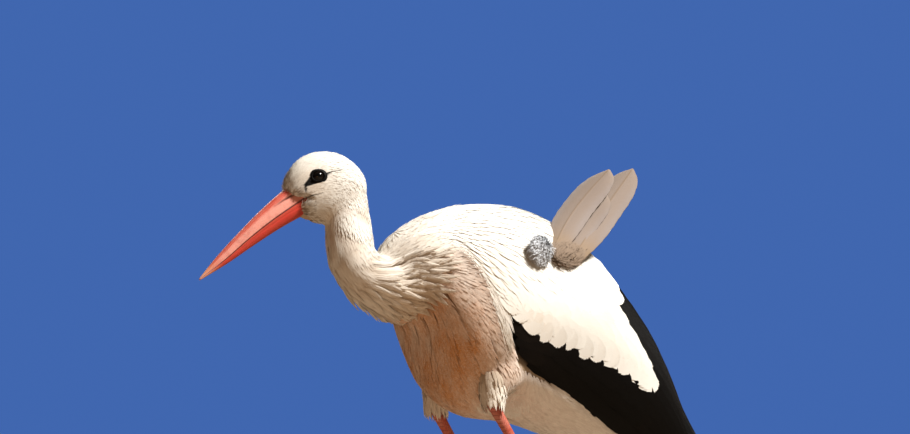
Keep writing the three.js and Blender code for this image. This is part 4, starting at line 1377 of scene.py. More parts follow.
class STORK_OT_wings(bpy.types.Operator):
    """The folded wings: white coverts and scapulars, black flight feathers and tips"""
    bl_idname = "stork.wings"
    bl_label = "Wings"

    def execute(self, context):
        seed = context.scene.stork_coat.seed
        for name, side in SIDES.items():
            self.coverts(name, side, seed + 10 * side)
            self.quills(name, side, seed + 20 * side)
            self.tips(name, side, seed + 30 * side)
        return {"FINISHED"}

    def coverts(self, name, side, seed):
        """Rows of white feathers, with bigger lobes along the border of the white."""
        rng = np.random.default_rng(seed + 100)
        station, angle, size = covert_roots(rng, 0.7, 6.6)
        keep = station < white_end(angle) - 0.25
        station, angle, size = station[keep], angle[keep], size[keep]
        coat = self.row(side, rng, station, angle, 50 * size * rng.uniform(0.9, 1.12, len(size)),
                        9.5 * size, -0.15, (2.7 + 2.3 * size**1.3, 2.7), 0.9)
        station = np.arange(2.0, 7.0, 0.37)
        border = white_border(station)
        around = steps_at(station, border)[1]
        angle = border - np.interp(station, [2, 3.5, 6], [22, 30, 26]) / around
        lobes = self.row(side, rng, station - np.interp(station, [2, 3.5, 6.9], [0.2, 0.3, 0.9]), angle,
                         np.interp(station, [2, 3.5], [34, 48]) * rng.uniform(0.92, 1.08, len(station)),
                         np.interp(station, [2, 3.5], [7.5, 12.5]), -0.035, (5.0, 3.1))
        coats = [coat, fringe(coat, 7, rng, 1.12), lobes, fringe(lobes, 21, rng, 1.06)]
        coated(f"wing_{name}_coverts", coats, seed + 101, "wing plumage", "plumage_white",
               f"wing_{name}_shield")
        self.ruff(name, side, rng)

    def row(self, side, rng, station, angle, length, half, over, depth, dip=0.0):
        """Broad white blades that hang more steeply the nearer they grow to the wing's lower edge."""
        high, low = wing_edge(station, UPPER), wing_edge(station, BORDER)
        share = smooth((angle - high) / (low - high), 0.25, 1.0)
        steep = np.interp(station, [1, 3.3, 4.8, 6.5], [22, 50, 28, 10])
        slope = np.radians(10 + (steep - 10) * share + 2.0 * rng.normal(size=len(station)))
        along, around = steps_at(station, angle)
        end_angle = angle + length * np.sin(slope) / around
        end = np.minimum(station + length * np.cos(slope) / along,
                         white_end(end_angle) + rng.uniform(-0.15, 0.12, len(station)))
        ragged = rng.uniform(-0.03, 0.03, len(station))
        end_angle = np.minimum(end_angle, white_border(end) + over + ragged)
        feet, ups = wing_feet(side, (station, angle), (end, end_angle),
                              (depth[0] + 0 * angle, depth[1] - 0.4 * rng.random(len(station))),
                              SCALLOP, dip=dip)
        return Coat(feet, ups, SCALLOP, half, 0.3, spread_places(station, angle), LEAF, 0.04, soft=0.9)

    def ruff(self, name, side, rng):
        """Fine wavy feathers where the folded wing's front edge meets the flank."""
        main, rear = 1200, 36
        count, share = main + rear, LANCE[:, 0]
        start = np.concatenate([rng.uniform(1.2, 3.1, main), rng.uniform(3.3, 3.5, rear)])
        reach = np.concatenate([rng.uniform(18, 32, main), rng.uniform(9, 16, rear)])
        along, around = steps_at(start, wing_edge(start, LOWER))
        beside = np.concatenate([rng.normal(size=main) * 7.0 - 3.0, rng.uniform(-10, 4, rear)])
        station = start[:, None] + (reach / along)[:, None] * share
        wave = np.sin(share * rng.uniform(3, 6, (count, 1)) + rng.uniform(0, 6.3, (count, 1))) * 0.8
        angle = wing_edge(station, LOWER) + (beside[:, None] + wave) / around[:, None]
        deep = 4.2 - share * rng.uniform(0.3, 2.0, (count, 1)) + 0.5 * smooth(np.abs(beside), 5, 14)[:, None]
        coat = Coat(*laid(station, side * angle, deep), LANCE, rng.uniform(0.6, 1.2, count), 0.35,
                    spread_places(start, beside), HAIR, 0.1, soft=0.78)
        coated(f"wing_{name}_front_edge", [coat], 9, "neck plumage", "plumage_white")

    def quills(self, name, side, seed):
        """Three waves of flight feathers, with the black coverts over them."""
        rng = np.random.default_rng(seed + 200)
        lanes = 16
        starts, ends, depths = [], [], []
        for wave, (first, reach) in enumerate(((2.9, 3.2), (4.3, 3.4), (5.4, 3.0))):
            for share in np.arange(lanes) / (lanes - 1):
                station = first + 0.9 * share * (1 - wave * 0.3)
                tip = min(station + reach + rng.uniform(-0.08, 0.08) - 0.5 * share, 8.5)
                low, low_tip = float(wing_edge(station, LOWER)), float(wing_edge(tip, LOWER))
                starts.append((station, (low - 0.09) * (1 - share) + 0.12 * share))
                ends.append((tip, (low_tip - 0.01) * (1 - share) + 0.07 * share))
                depths.append((8.0 - 0.5 * wave, 5.6 - 1.6 * share - 0.7 * wave + 0.35 * (side > 0)))
        starts, ends, depths = (np.array(rows).T for rows in (starts, ends, depths))
        coat = Coat(*wing_feet(side, starts, ends, depths, LONG_QUILL), LONG_QUILL, 13.5, 0.8,
                    spread_places(*starts), QUILL, 0.06)
        coated(f"wing_{name}_flight_feathers", [coat, self.greater(side, rng)], seed + 201,
               "black plumage", "plumage_black", f"wing_{name}_flight")

    def greater(self, side, rng):
        """Shorter black coverts over the front of the flight feathers."""
        roots = []
        for row in range(4):
            for station in np.arange(2.95 + row * 0.08, 6.4, 0.19):
                low, border = float(wing_edge(station, LOWER)), float(wing_edge(station, BORDER))
                angle = border - 0.12 + (low - border + 0.1) * row / 4
                if angle < low - 0.03:
                    roots.append((station + rng.normal() * 0.02, angle + rng.normal() * 0.01))
        station, angle = np.array(roots).T
        length = np.interp(station, [3, 4.5], [24, 44]) * rng.uniform(0.9, 1.1, len(station))
        along, around = steps_at(station, angle)
        end = station + length * 0.975 / along
        end_angle = np.minimum(angle + length * 0.22 / around, wing_edge(end, LOWER) - 0.01)
        feet, ups = wing_feet(side, (station, angle), (end, end_angle),
                              (5.8 + 0 * station, 3.6 + 0.5 * rng.random(len(station))), SCALLOP)
        half = np.interp(station, [3, 4.5], [5.5, 9.5])
        return Coat(feet, ups, SCALLOP, half, 0.45, spread_places(station, angle), LEAF, 0.06)

    def tips(self, name, side, seed):
        """The long feathers that cross over the tail."""
        share = np.linspace(0, 1, 10)
        start = 7.5 + 0 * share, np.radians(138 - 126 * share)
        end = 11.9 - 2.5 * share ** 1.3, np.radians(118 - 100 * share)
        depth = 6.0 - 2.0 * share, 4.2 - 2.0 * share + 0.3 * (side > 0)
        feet, ups = wing_feet(side, start, end, depth, LONG_QUILL)
        coat = Coat(feet, ups, LONG_QUILL, 13.0 - 2 * share, 0.9, spread_places(start[0] + share, start[1]),
                    QUILL, 0.12)
        coated(f"wing_{name}_primaries", [coat], seed + 301, "black plumage", "plumage_black",
               f"wing_{name}_tip")


def fringe(coat, count, rng, longest):
    """Loose barbs round the tips of broad blades."""
    feet, ups = coat.feet, coat.ups
    ahead = unit(np.gradient(feet, axis=1))
    across = unit(np.cross(ups, ahead))
    middle = len(coat.shape) - 3
    angles = np.linspace(-1.3, 1.3, count)[None] + rng.normal(size=(len(feet), count)) * 0.09
    centre = feet[:, middle][:, None]
    reach_ahead = np.linalg.norm(feet[:, -1] - feet[:, middle], axis=1)[:, None]
    reach_side = (coat.half * coat.shape[middle, 1])[:, None]
    grow = rng.uniform(1.0, longest, angles.shape)
    d, side = ahead[:, middle][:, None], across[:, middle][:, None]
    rim = d * (reach_ahead * np.cos(angles))[..., None] + side * (reach_side * np.sin(angles))[..., None]
    drop = ups[:, middle][:, None] * 0.12
    lines = np.stack([centre + rim * 0.6 - drop, centre + rim * 0.85 - drop,
                      centre + rim * grow[..., None] - drop * 2], 2)
    shape = np.array([(0, 0.6), (0.5, 1), (1, 0)])
    up = np.repeat(np.repeat(ups[:, middle][:, None], count, 1).reshape(-1, 1, 3), 3, 1)
    return Coat(lines.reshape(-1, 3, 3), up, shape, 0.8, 0.3, np.repeat(coat.place, count, 0), HAIR, 0.0)


class STORK_OT_tail(bpy.types.Operator):
    """The twelve tail feathers"""
    bl_idname = "stork.tail"
    bl_label = "Tail"

    def execute(self, context):
        count = 12
        place = np.linspace(-1, 1, count)
        steps = LONG_QUILL[:, 0]
        feet, ups = [], []
        for spot in place:
            row = tail_at((0.2 + steps * (0.965 - 0.05 * spot**2)) * (len(TAIL) - 1) / 1.2 * 1.03)
            top, low = row[:, :2], row[:, 2:4]
            middle = top * (0.75 - 0.35 * abs(spot)) + low * (0.25 + 0.35 * abs(spot))
            side = spot * np.maximum(row[:, 4] - 11, 6)
            feet.append(np.stack([middle[:, 0], side, middle[:, 1]], 1))
            normal = unit(top - low)
            ups.append(unit(np.stack([normal[:, 0], 0.25 * spot + 0 * side, normal[:, 1]], 1)))
        coat = Coat(np.array(feet), np.array(ups), LONG_QUILL, 11.0, 1.1,
                    spread_places(place, np.arange(count)), QUILL, 0.1)
        coated("tail_feathers", [coat, self.coverts()], 5, "white plumage", "plumage_white", "tail")
        return {"FINISHED"}

    def coverts(self):
        """Soft white feathers that lie round the tail from the rump out."""
        rng = np.random.default_rng(52)
        count = 620
        root = rng.uniform(-0.7, 2.1, count)
        turn = rng.uniform(0, 2 * math.pi, count)
        share = PETAL[:, 0]
        station = (root + rng.uniform(0.75, 1.05, count) * share[:, None]).T
        row = tail_at(np.maximum(station, 0).ravel()).reshape(*station.shape, -1)
        middle, up, tall = spans(row[..., :2], row[..., 2:4])
        middle = middle + np.minimum(station, 0)[..., None] * np.array([46.0, -36.0])
        deep = 1.2 + 2.6 * (1 - share) + rng.uniform(0, 0.5, (count, 1))
        high = (np.maximum(tall - deep, 0.5) * np.cos(turn)[:, None] / tall)[..., None] * up
        side = np.maximum(row[..., 4] - deep - 4, 3) * np.sin(turn)[:, None]
        feet = np.stack([middle[..., 0] + high[..., 0], side, middle[..., 1] + high[..., 1]], -1)
        rise = up / tall[..., None] ** 2 * np.cos(turn)[:, None, None]
        ups = unit(np.stack([rise[..., 0], np.sin(turn)[:, None] / row[..., 4], rise[..., 1]], -1))
        return Coat(feet, ups, PETAL, 6.0, 0.4, spread_places(root, turn) + 0.3, LEAF, 0.08)


def raised_grid(root, tip, half, lean, bow, rows=44, columns=29):
    """Middle surface of a raised feather, its way out and its half thickness, for rows by columns."""
    root, tip = np.array(root, float), np.array(tip, float)
    length = np.linalg.norm(tip - root)
    ahead = (tip - root) / length
    angle = math.radians(lean)
    across = np.array([math.cos(angle), -math.sin(angle), 0])
    across = unit(across - ahead * (across @ ahead))
    out = np.cross(ahead, across)
    u = np.linspace(0.03, 0.995, rows)[:, None]
    even = np.linspace(-1, 1, columns)[None]
    v = even - 0.12 * np.sin(2 * math.pi * even)
    wide = half * (0.22 + 0.78 * np.sin(math.pi * np.minimum(0.5, 0.08 + 0.9 * u))) * 0.97
    rounded = np.sqrt(np.clip(1 - np.maximum((u - 0.72) / 0.28, 0) ** 2, 0.004, 1))
    ragged = 1 + 0.012 * np.sin(u * 61 + 3 * v) * np.abs(v) ** 3 + 0.008 * np.sin(u * 173) * np.abs(v) ** 4
    cup = 5 * v * v + 7 * np.sin(math.pi * u)
    shaft = 0.75 * np.exp(-(v * half / 1.1) ** 2) * (1 - 0.75 * u)
    thick = 0.05 + 0.2 * (1 - np.abs(v) ** 3) + shaft
    spot = (root + ahead * (u * length)[..., None]
            + across * (v * wide * rounded * ragged - bow * np.sin(math.pi * u))[..., None]
            + out * cup[..., None])
    return spot, np.broadcast_to(out, spot.shape), thick * np.ones_like(u * v), u, v, wide * rounded, length


class STORK_OT_raised(bpy.types.Operator):
    """The three back feathers that the wind raises, and the down at their roots"""
    bl_idname = "stork.raised"
    bl_label = "Raised feathers"

    def execute(self, context):
        for number, feather in enumerate(RAISED, 1):
            self.feather(number, feather)
        self.down()
        return {"FINISHED"}

    def feather(self, number, feather):
        """A closed thin vane with its shaft, and its two sides apart on the bake map."""
        spot, out, thick, u, v, wide, length = raised_grid(*feather)
        rows, columns = thick.shape
        rings = there_and_back(spot + out * thick[..., None], spot - out * thick[..., None])
        points, faces = tube(rings)
        place = np.stack(np.broadcast_arrays(v * wide, u * length), -1)
        ring_map = there_and_back(place, place)
        ends = np.array([ring_map[0].mean(0), ring_map[-1].mean(0)])
        vane = np.concatenate([ring_map.reshape(-1, 2), ends])
        reach = np.clip(vane[:, 1] / length, 0, 1)
        bake = spread_places(vane[:, 0], vane[:, 1])
        bake[:, 0] *= 0.49
        bottom_side = np.tile(np.arange(rings.shape[1]) >= columns, rows)
        bake[:-2, 0] = np.where(bottom_side, 1 - bake[:-2, 0], bake[:-2, 0])
        shaft = np.exp(-(vane[:, 0] / 0.9) ** 2)
        # Painted shade and ochre brown the base; painted shade darkens the shaft and the middle of the vane;
        # the shaft also carries a thin dark line.
        values = {"reach": 0.25 + 0.75 * reach, "chance": 0.3 + 0 * reach,
                  "stain_and_shade": 0.9 * smooth(-reach, -0.34, -0.08) + 0.25 * shaft,
                  "dark": 0.16 * np.exp(-(vane[:, 0] / 0.6) ** 2),
                  "tone": 0.3 * shaft + 0.3 * (1 - smooth(np.abs(vane[:, 0]), 9, 17))}
        item = made(f"raised_feather_{number}", points, faces, {"vane": vane, "OFBake": bake}, values)
        finished(item, "raised plumage", "feather_underside", f"back_feather_{number}")

    def down(self):
        """The grey tuft beside the raised feathers, and the brown one round their roots, both greyed and
        browned partly by painted shade.
        """
        rng = np.random.default_rng(41)
        loose = self.tuft(rng, DOWN_PLACE, DOWN_SIZE, (-0.75, 0, -0.65), count=3400, half=0.5, tone=0.0,
                          stretch=1.15)
        coated("raised_down", [loose], 6, "down", "plumage_white", "back_down")
        root = self.tuft(rng, FLUFF_PLACE, FLUFF_SIZE, (0.62, 0, 0.78), count=2000, half=0.6, tone=0.55,
                         stretch=1.35)
        coated("raised_roots", [root], 6, "raised plumage", "feather_underside")

    def tuft(self, rng, place, size, flow, *, count, half, tone, stretch):
        """Soft curved barbs that lie round a place on the back and run one way."""
        way = unit(rng.normal(size=(count, 3)))
        way = way[way[:, 1] < 0.45]
        size, flow = np.array(size, float), unit(np.array(flow, float))
        share = LANCE[:, 0]
        along = flow + rng.normal(size=way.shape) * 0.3
        along = along - way * (along * way).sum(1, keepdims=True) * 0.85
        along = unit(along + way * rng.uniform(-0.1, 0.75, (len(way), 1)))
        length = rng.uniform(0.6, 1.15, (len(way), 1)) * size.mean() * stretch
        swell = 1 + 0.14 * ripple(way * 10, 8, 3)[:, None]
        out = way * size * swell * rng.uniform(0.5, 0.78, (len(way), 1))
        start = np.array(place) + out - along * length * 0.45
        rise = way * size * 0.22
        curl = unit(np.cross(way, rng.normal(size=way.shape))) * rng.uniform(0.3, 1.6, (len(way), 1))
        feet = (start[:, None] + (along * length)[:, None] * share[None, :, None]
                + rise[:, None] * np.sin(2.3 * share)[None, :, None]
                + curl[:, None] * (share**2)[None, :, None])
        facing = 0.45 * way + np.array([0.1, -0.7, 0.4]) + 0.1 * rng.normal(size=way.shape)
        ups = np.repeat(unit(facing)[:, None], len(share), 1)
        spots = spread_places(np.arctan2(way[:, 1], way[:, 0]), way[:, 2])
        return Coat(feet, ups, LANCE, half, 0.3, spots, HAIR, 0.0, tone=tone, soft=0.9, stain_and_shade=0.5 * tone)


# --- Bill, eyes and legs ---
def bill_half(name, upper, material, replaced):
    """The horn of one half: a round rim above or below a flat seam."""
    rows, sides = 110, 112
    station = np.linspace(0, 1, rows) ** 0.97 * (len(BILL) - 1)
    row = bill_at(station)
    rim = row[:, 0:2] if upper else row[:, 4:6]
    seam = row[:, 2:4]
    high, flat = in_head(rim[:, 0], rim[:, 1], 0), in_head(seam[:, 0], seam[:, 1], 0)
    deep = np.linalg.norm(high - flat, axis=1)
    towards = unit(high - flat)
    turn = turns(sides)[None]
    share = (station / (len(BILL) - 1))[:, None]
    up, out = np.cos(turn), np.sin(turn)
    away = np.abs(turn - np.where(turn > math.pi, 2 * math.pi, 0))  # from the rim round to the seam
    lift = np.minimum(0.22, 0.2 * deep)[:, None]
    rise = np.where(up > 0, lift + (deep[:, None] - lift) * np.abs(up) ** 0.9, lift + 0.1 * up)
    wide = row[:, 6, None] * np.abs(out) ** 0.85 * np.sign(out)
    if upper:
        off = away - (1.13 - 0.16 * smooth(share, 0.1, 0.36))
        slit = np.exp(-(off / 0.055) ** 2) * smooth(share, 0.11, 0.15) * (1 - smooth(share, 0.25, 0.37))
        groove = np.exp(-(off / 0.14) ** 2) * smooth(share, 0.05, 0.1) * (1 - smooth(share, 0.3, 0.6))
        # The pit is where shade is painted into the nostril slit.
        dent, pit = 1.3 * slit + 0.7 * groove, slit
    else:
        groove = np.exp(-((away - 1.32) / 0.09) ** 2) * (1 - smooth(share, 0.5, 0.85))
        dent, pit = 0.45 * groove, 0.0 * groove
    wide = wide * (1 - dent / np.maximum(row[:, 6, None], 3))
    rings = flat[:, None] + towards[:, None] * rise[..., None] + ACROSS_HEAD * wide[..., None]
    points, faces = tube(rings)
    run = np.concatenate([[0], np.cumsum(np.linalg.norm(np.diff(flat, axis=0), axis=1))])[:, None]
    full = np.ones((rows, sides))
    horn = np.stack([run * full, away * row[:, 6, None] * 1.6], -1).reshape(-1, 2)
    reach = (share * full).ravel()
    around = (away * full).ravel()
    # Painted shade along the gap between the halves; the lower half also darkens at its base.
    edge = smooth(around, 1.515, 1.57) * (1 - smooth(reach, 0.8, 0.95))
    base = 0.8 * (1 - smooth(reach, 0.02, 0.05)) * (not upper)
    # Upper half: a pale band down the side, wear with a painted highlight; lower half: a brighter band along
    # its edge under the gap, a painted highlight.
    band = smooth(around, 0.75, 1.05) if upper else smooth(around, 1.36, 1.44)
    values = {"tip": smooth(reach, 0.8, 0.98) * 0.9,
              "ridge": band * (1 - smooth(reach, 0.75, 0.95)),
              "seam": np.clip(0.85 * edge + (pit * full).ravel() + base, 0, 1)}
    ends = [*range(len(horn)), 0, -1]  # the middles of the two end faces take the first and last value
    values = {key: row[ends] for key, row in values.items()}
    item = made(name, points, faces, {"horn": horn[ends]}, values)
    finished(item, material, "bill_horn", replaced)


class STORK_OT_bill(bpy.types.Operator):
    """The two halves of the bill, with nostrils and grooves"""
    bl_idname = "stork.bill"
    bl_label = "Bill"

    def execute(self, context):
        bill_half("bill_upper_horn", True, "upper bill", "bill_upper")
        bill_half("bill_lower_horn", False, "lower bill", "bill_lower")
        return {"FINISHED"}


def eye_axes(side):
    """Where an eye looks, and its own across and up."""
    look = unit(in_head(-0.22, 0.05, side) - in_head(0, 0, 0))
    across = unit(in_head(-1, 0, 0) - in_head(0, 0, 0))
    across = unit(across - look * (across @ look))
    up = np.cross(look, across)
    return look, across, up * (1 if up[2] > 0 else -1)


class STORK_OT_eyes(bpy.types.Operator):
    """Eyeballs with their lids"""
    bl_idname = "stork.eyes"
    bl_label = "Eyes"

    def execute(self, context):
        for name, sign in (("left", 1), ("right", -1)):
            centre = in_head(EYE_PLACE[0], EYE_PLACE[1], sign * EYE_PLACE[2])
            self.ball(name, centre, *eye_axes(sign))
            self.lid(name, centre, *eye_axes(sign))
        return {"FINISHED"}

    def ball(self, name, centre, look, across, up):
        """A round eye that bulges a little over the pupil."""
        polar = np.linspace(0.02, math.pi - 0.02, 40)[:, None]
        turn = turns(48)[None]
        radius = (EYE_RADIUS - 0.1) * (1 + 0.05 * np.exp(-(polar / 0.42) ** 2))
        rings = (centre + look * (radius * np.cos(polar) * np.ones_like(turn))[..., None]
                 + across * (radius * np.sin(polar) * np.cos(turn))[..., None]
                 + up * (radius * np.sin(polar) * np.sin(turn))[..., None])
        points, faces = tube(rings)
        pupil = (1 - smooth(polar, 0.30, 0.36)) * np.ones_like(turn)
        pupil = np.append(pupil.ravel(), [1, 0])
        item = made(f"eyeball_{name}", points, faces, values={"pupil": pupil})
        finished(item, "stork eye", "eye", f"eye_{name}")

    def lid(self, name, centre, look, across, up):
        """A folded rim round the opening, with a skirt that sinks under the coat."""
        turn = turns(96)
        corner = 0.99 + 0.1 * np.cos(2 * turn)
        profile = np.array([(6.0, 4.6), (5.95, 6.0), (6.2, 6.75), (6.7, 7.0), (7.15, 6.8), (7.45, 6.45),
                            (7.7, 6.45), (8.1, 6.3), (8.6, 5.7), (9.2, 4.8), (9.8, 3.4), (9.6, 1.5),
                            (7.6, 1.0)])
        rings = []
        for radius, height in profile:
            fold = 0.1 * np.sin(turn * 23 + radius) * smooth(radius, 7.2, 8.5)
            along = across * (radius * corner * np.cos(turn))[:, None]
            rings.append(centre + along + up * (radius * corner * np.sin(turn))[:, None]
                         + look * (height + fold)[:, None])
        rings = np.array(rings)
        rings = np.concatenate([rings, rings[:1]])
        count, sides = rings.shape[:2]
        a = np.arange(sides)
        b = (a + 1) % sides
        faces = []
        for ring in range(count - 1):
            low, high = ring * sides, ((ring + 1) % (count - 1)) * sides
            faces += [np.stack([low + a, low + b, high + b], 1), np.stack([low + a, high + b, high + a], 1)]
        item = made(f"eyelid_{name}", rings[:-1].reshape(-1, 3), np.concatenate(faces))
        finished(item, "eyelid", "eye")


def toe_place(side, heading, reach, height):
    """A place above the floor, reach out from the leg in a toe's direction."""
    turn = math.radians(180 - side * heading)
    return np.array([FOOT_X + reach * math.cos(turn), side * LEG_OUT + reach * math.sin(turn), height])


def toe_rows(side, heading, length, stout):
    """Rows of place, half height and half width along a toe, swollen at its joints."""
    rows = []
    for i in range(13):
        share = i / 12
        swell = 0.92 + 0.08 * math.cos(share * 8 * math.pi)
        radius = TOE_RADIUS * stout * swell * (1 - 0.36 * share)
        reach = 1 + (length - 1) * share
        rows.append((*toe_place(side, heading, reach, radius - SOLE_TRIM + 0.3), radius, radius))
    return rows


def upright_rings(rows, steps, sides):
    """Rings along a toe or claw that stand upright."""
    row = track(rows)(np.linspace(0, len(rows) - 1, steps))
    ahead = unit(np.array([row[-1, 0] - row[0, 0], row[-1, 1] - row[0, 1], 0]))
    return ringed(row, (0, 0, 1.0), (-ahead[1], ahead[0], 0), sides)


def plate_pattern(points, side):
    """How deep into a groove each point of a leg lies, from 0 on a plate to 1 in a groove."""
    x, y, z = points[:, 0], points[:, 1] - side * LEG_OUT, points[:, 2]
    axis_x = np.where(z > HEEL_HEIGHT, np.interp(z, [HEEL_HEIGHT, 254, 298, 360], [157, 143, 114, 72]), 157.8)
    turn = np.arctan2(y, axis_x - x)
    cell = 3.3
    u = turn * 5.6 / cell
    v = z / (cell * 0.9)
    front = smooth(np.cos(turn), 0.35, 0.8)
    best = np.full((2, len(z)), FAR)
    for shift in (0.0, 0.5):
        du = (u + shift) - np.round(u + shift)
        dv = (v + shift) - np.round(v + shift)
        gap = np.hypot(du, dv * 0.95)
        best = np.sort(np.concatenate([best, gap[None]]), axis=0)[:2]
    small = 1 - smooth(best[1] - best[0], 0.02, 0.16)
    cross = 1 - smooth(np.abs(z / 4.2 - np.round(z / 4.2)), 0.03, 0.12)
    tube_part = small * (1 - front) + cross * front
    reach = np.hypot(x - FOOT_X, y)
    plate = 1 - smooth(np.abs(reach / 2.6 - np.round(reach / 2.6)), 0.05, 0.2)
    beads = 0.6 * (np.abs(np.sin(x * 1.5)) * np.abs(np.sin(y * 1.5)))
    toe_part = np.where(z > 3.6, plate, beads)
    on_toe = (z < 13) & (reach > 9)
    return np.where(on_toe, toe_part, tube_part) * smooth(z, 0.3, 1.2)


class STORK_OT_legs(bpy.types.Operator):
    """Scaly legs, toes and claws"""
    bl_idname = "stork.legs"
    bl_label = "Legs and feet"

    def execute(self, context):
        for name, side in SIDES.items():
            self.leg(name, side)
            self.claws(name, side)
        return {"FINISHED"}

    def leg(self, name, side):
        """Shin, shank and toes as one skin with grooves between its plates."""
        rows = [(x, side * LEG_OUT, z, a, b) for x, z, a, b in LEG]
        rows.append((FOOT_X, side * LEG_OUT, 5, 8.2, 8.6))
        parts = [tube(limb_rings(rows, 150, 24))]
        parts += [tube(upright_rings(toe_rows(side, *toe), 60, 20)) for toe in TOES.values()]
        item = joined(f"leg_{name}_skin", [made(f"part_{i}", *part) for i, part in enumerate(parts)])
        applied(item, "REMESH", mode="VOXEL", voxel_size=LEG_VOXEL)
        applied(item, "SMOOTH", factor=0.5, iterations=4)
        item.data.shade_smooth()
        points = points_of(item)
        groove = plate_pattern(points, side)
        points = points - read_rows(item.data.vertices, "normal") * (0.34 * groove)[:, None]
        points[:, 2] = np.maximum(points[:, 2], 0.0)
        put_points(item, points)
        give_values(item.data, {"groove": 0.75 * groove,
                                "dust": 0.35 + 0.65 * smooth(points[:, 2], 330, 60)})
        nodes = [f"shin_{name}", f"shank_{name}"] + [f"toe_{name}_{toe}" for toe in TOES]
        finished(item, "leg scales", "leg_skin", *nodes)

    def claws(self, name, side):
        for toe, (heading, length, stout) in TOES.items():
            rows, radius = [], TOE_RADIUS * stout * 0.56
            for share in np.linspace(0, 1, 9):
                reach = length - 4 + share * (CLAW_LENGTH + 4)
                wide = max(radius * (1 - 0.85 * share**2.2), 0.45)
                place = toe_place(side, heading, reach, wide + 0.15 + (1 - share) * 0.9)
                rows.append((*place, wide, wide * 0.9))
            item = made(f"claw_{name}_{toe}_horn", *tube(upright_rings(rows, 30, 20)))
            finished(item, "claw horn", "claw_horn", f"claw_{name}_{toe}")


# --- Stage ---
AIM = np.array([73.0, 0, 560.0])  # the middle of the picture


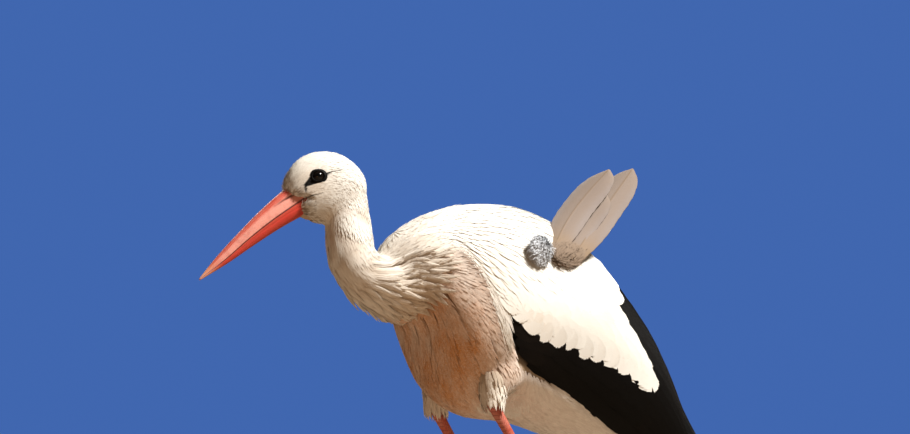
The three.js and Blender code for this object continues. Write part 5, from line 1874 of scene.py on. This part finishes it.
class STORK_OT_stage(bpy.types.Operator):
    """Floor, backdrop, lights and camera"""
    bl_idname = "stork.stage"
    bl_label = "Stage"

    def execute(self, context):
        stage = context.scene.stork_stage
        self.floor(stage)
        self.backdrop(context, stage)
        self.lights(stage)
        self.camera(context, stage)
        return {"FINISHED"}

    def floor(self, stage):
        bpy.ops.object.select_all(action="DESELECT")
        bpy.ops.mesh.primitive_circle_add(vertices=96, radius=40, fill_type="NGON", location=(0, 0, 0))
        floor = bpy.context.object
        floor.name = "stage_floor"
        material, tree, shader = new_material("stage floor")
        grain = noise(tree, object_place(tree), 3.0, 3.0)
        fed(tree, shader, {
            "Base Color": layered(tree, stage.floor, (grain, dimmed(stage.floor, 0.97))),
            "Roughness": 0.9, "Specular IOR Level": 0.1,
            "Emission Color": (1.0, 0.74, 0.50, 1), "Emission Strength": stage.glow})
        floor.data.materials.append(material)

    def backdrop(self, context, stage):
        world = bpy.data.worlds.new("studio")
        context.scene.world = world
        world.use_nodes = True
        tree = world.node_tree
        tree.nodes.clear()
        seen = node(tree, "ShaderNodeBackground", {"Color": rgba(stage.backdrop), "Strength": 1.0})
        soft = node(tree, "ShaderNodeBackground", {"Color": (1.0, 0.88, 0.74, 1), "Strength": stage.ambient})
        path = node(tree, "ShaderNodeLightPath").outputs["Is Camera Ray"]
        both = node(tree, "ShaderNodeMixShader", {0: path, 1: soft.outputs[0], 2: seen.outputs[0]})
        node(tree, "ShaderNodeOutputWorld", {0: both.outputs[0]})

    def lights(self, stage):
        """A high main light, a low warm one from the front and a faint one from behind."""
        self.lamp("key", "AREA", (0.78, -1.88, 2.43), stage.key, (1.0, 0.97, 0.91), size=0.6)
        self.lamp("fill", "SPOT", (-1.7, -1.2, -0.25), stage.fill, (1.0, 0.42, 0.14),
                  spot_size=math.radians(30), spot_blend=1.0, shadow_soft_size=0.3)
        self.lamp("rim", "AREA", (0.2, 2.2, 1.8), stage.key * 0.12, (1.0, 0.97, 0.92), size=1.4)

    def lamp(self, name, kind, offset, power, colour, **settings):
        """A light that looks at the middle of the bird, from a place offset from it in metres."""
        middle = np.array([0.0, 0.0, 0.45])
        place = middle + np.array(offset)
        data = bpy.data.lights.new(name, kind)
        data.energy, data.color = power, colour
        for key, value in settings.items():
            setattr(data, key, value)
        lamp = bpy.data.objects.new(name, data)
        lamp.location = Vector(place)
        lamp.rotation_euler = Vector(middle - place).to_track_quat("-Z", "Y").to_euler()
        bpy.context.scene.collection.objects.link(lamp)

    def camera(self, context, stage):
        azimuth, elevation = stage.azimuth, stage.elevation
        back = Vector((math.sin(azimuth) * math.cos(elevation), -math.cos(azimuth) * math.cos(elevation),
                       math.sin(elevation)))
        aim = Vector(AIM * MM + ZERO)
        data = bpy.data.cameras.new("camera")
        data.lens, data.sensor_width = stage.lens, 36
        camera = bpy.data.objects.new("camera", data)
        camera.location = aim + back * stage.distance
        camera.rotation_euler = (-back).to_track_quat("-Z", "Y").to_euler()
        context.scene.collection.objects.link(camera)
        context.scene.camera = camera
        context.scene.view_settings.view_transform = "Standard"


OPERATORS = (STORK_OT_skin, STORK_OT_head_coat, STORK_OT_neck_coat, STORK_OT_body_coat, STORK_OT_wings,
             STORK_OT_tail, STORK_OT_raised, STORK_OT_bill, STORK_OT_eyes, STORK_OT_legs, STORK_OT_stage)
SETTINGS = {"stork_coat": StorkCoatSettings, "stork_horn": StorkHornSettings,
            "stork_stage": StorkStageSettings}


class STORK_PT_panel(bpy.types.Panel):
    """Lists the steps that build the stork, with their settings"""
    bl_idname = "STORK_PT_panel"
    bl_label = "White stork"
    bl_space_type = "VIEW_3D"
    bl_region_type = "UI"
    bl_category = "Stork"

    def draw(self, context):
        for key, kind in SETTINGS.items():
            box = self.layout.box()
            for field in kind.__annotations__:
                box.prop(getattr(context.scene, key), field)
        for operator in OPERATORS:
            self.layout.operator(operator.bl_idname)


def register():
    for kind in (*SETTINGS.values(), *OPERATORS, STORK_PT_panel):
        bpy.utils.register_class(kind)
    for key, kind in SETTINGS.items():
        setattr(bpy.types.Scene, key, PointerProperty(type=kind))


def unregister():
    for key in SETTINGS:
        delattr(bpy.types.Scene, key)
    for kind in (STORK_PT_panel, *reversed(OPERATORS), *SETTINGS.values()):
        bpy.utils.unregister_class(kind)


def main():
    register()
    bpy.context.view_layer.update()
    for operator in OPERATORS:
        group, name = operator.bl_idname.split(".")
        getattr(getattr(bpy.ops, group), name)()
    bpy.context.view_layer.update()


if __name__ == "__main__":
    main()
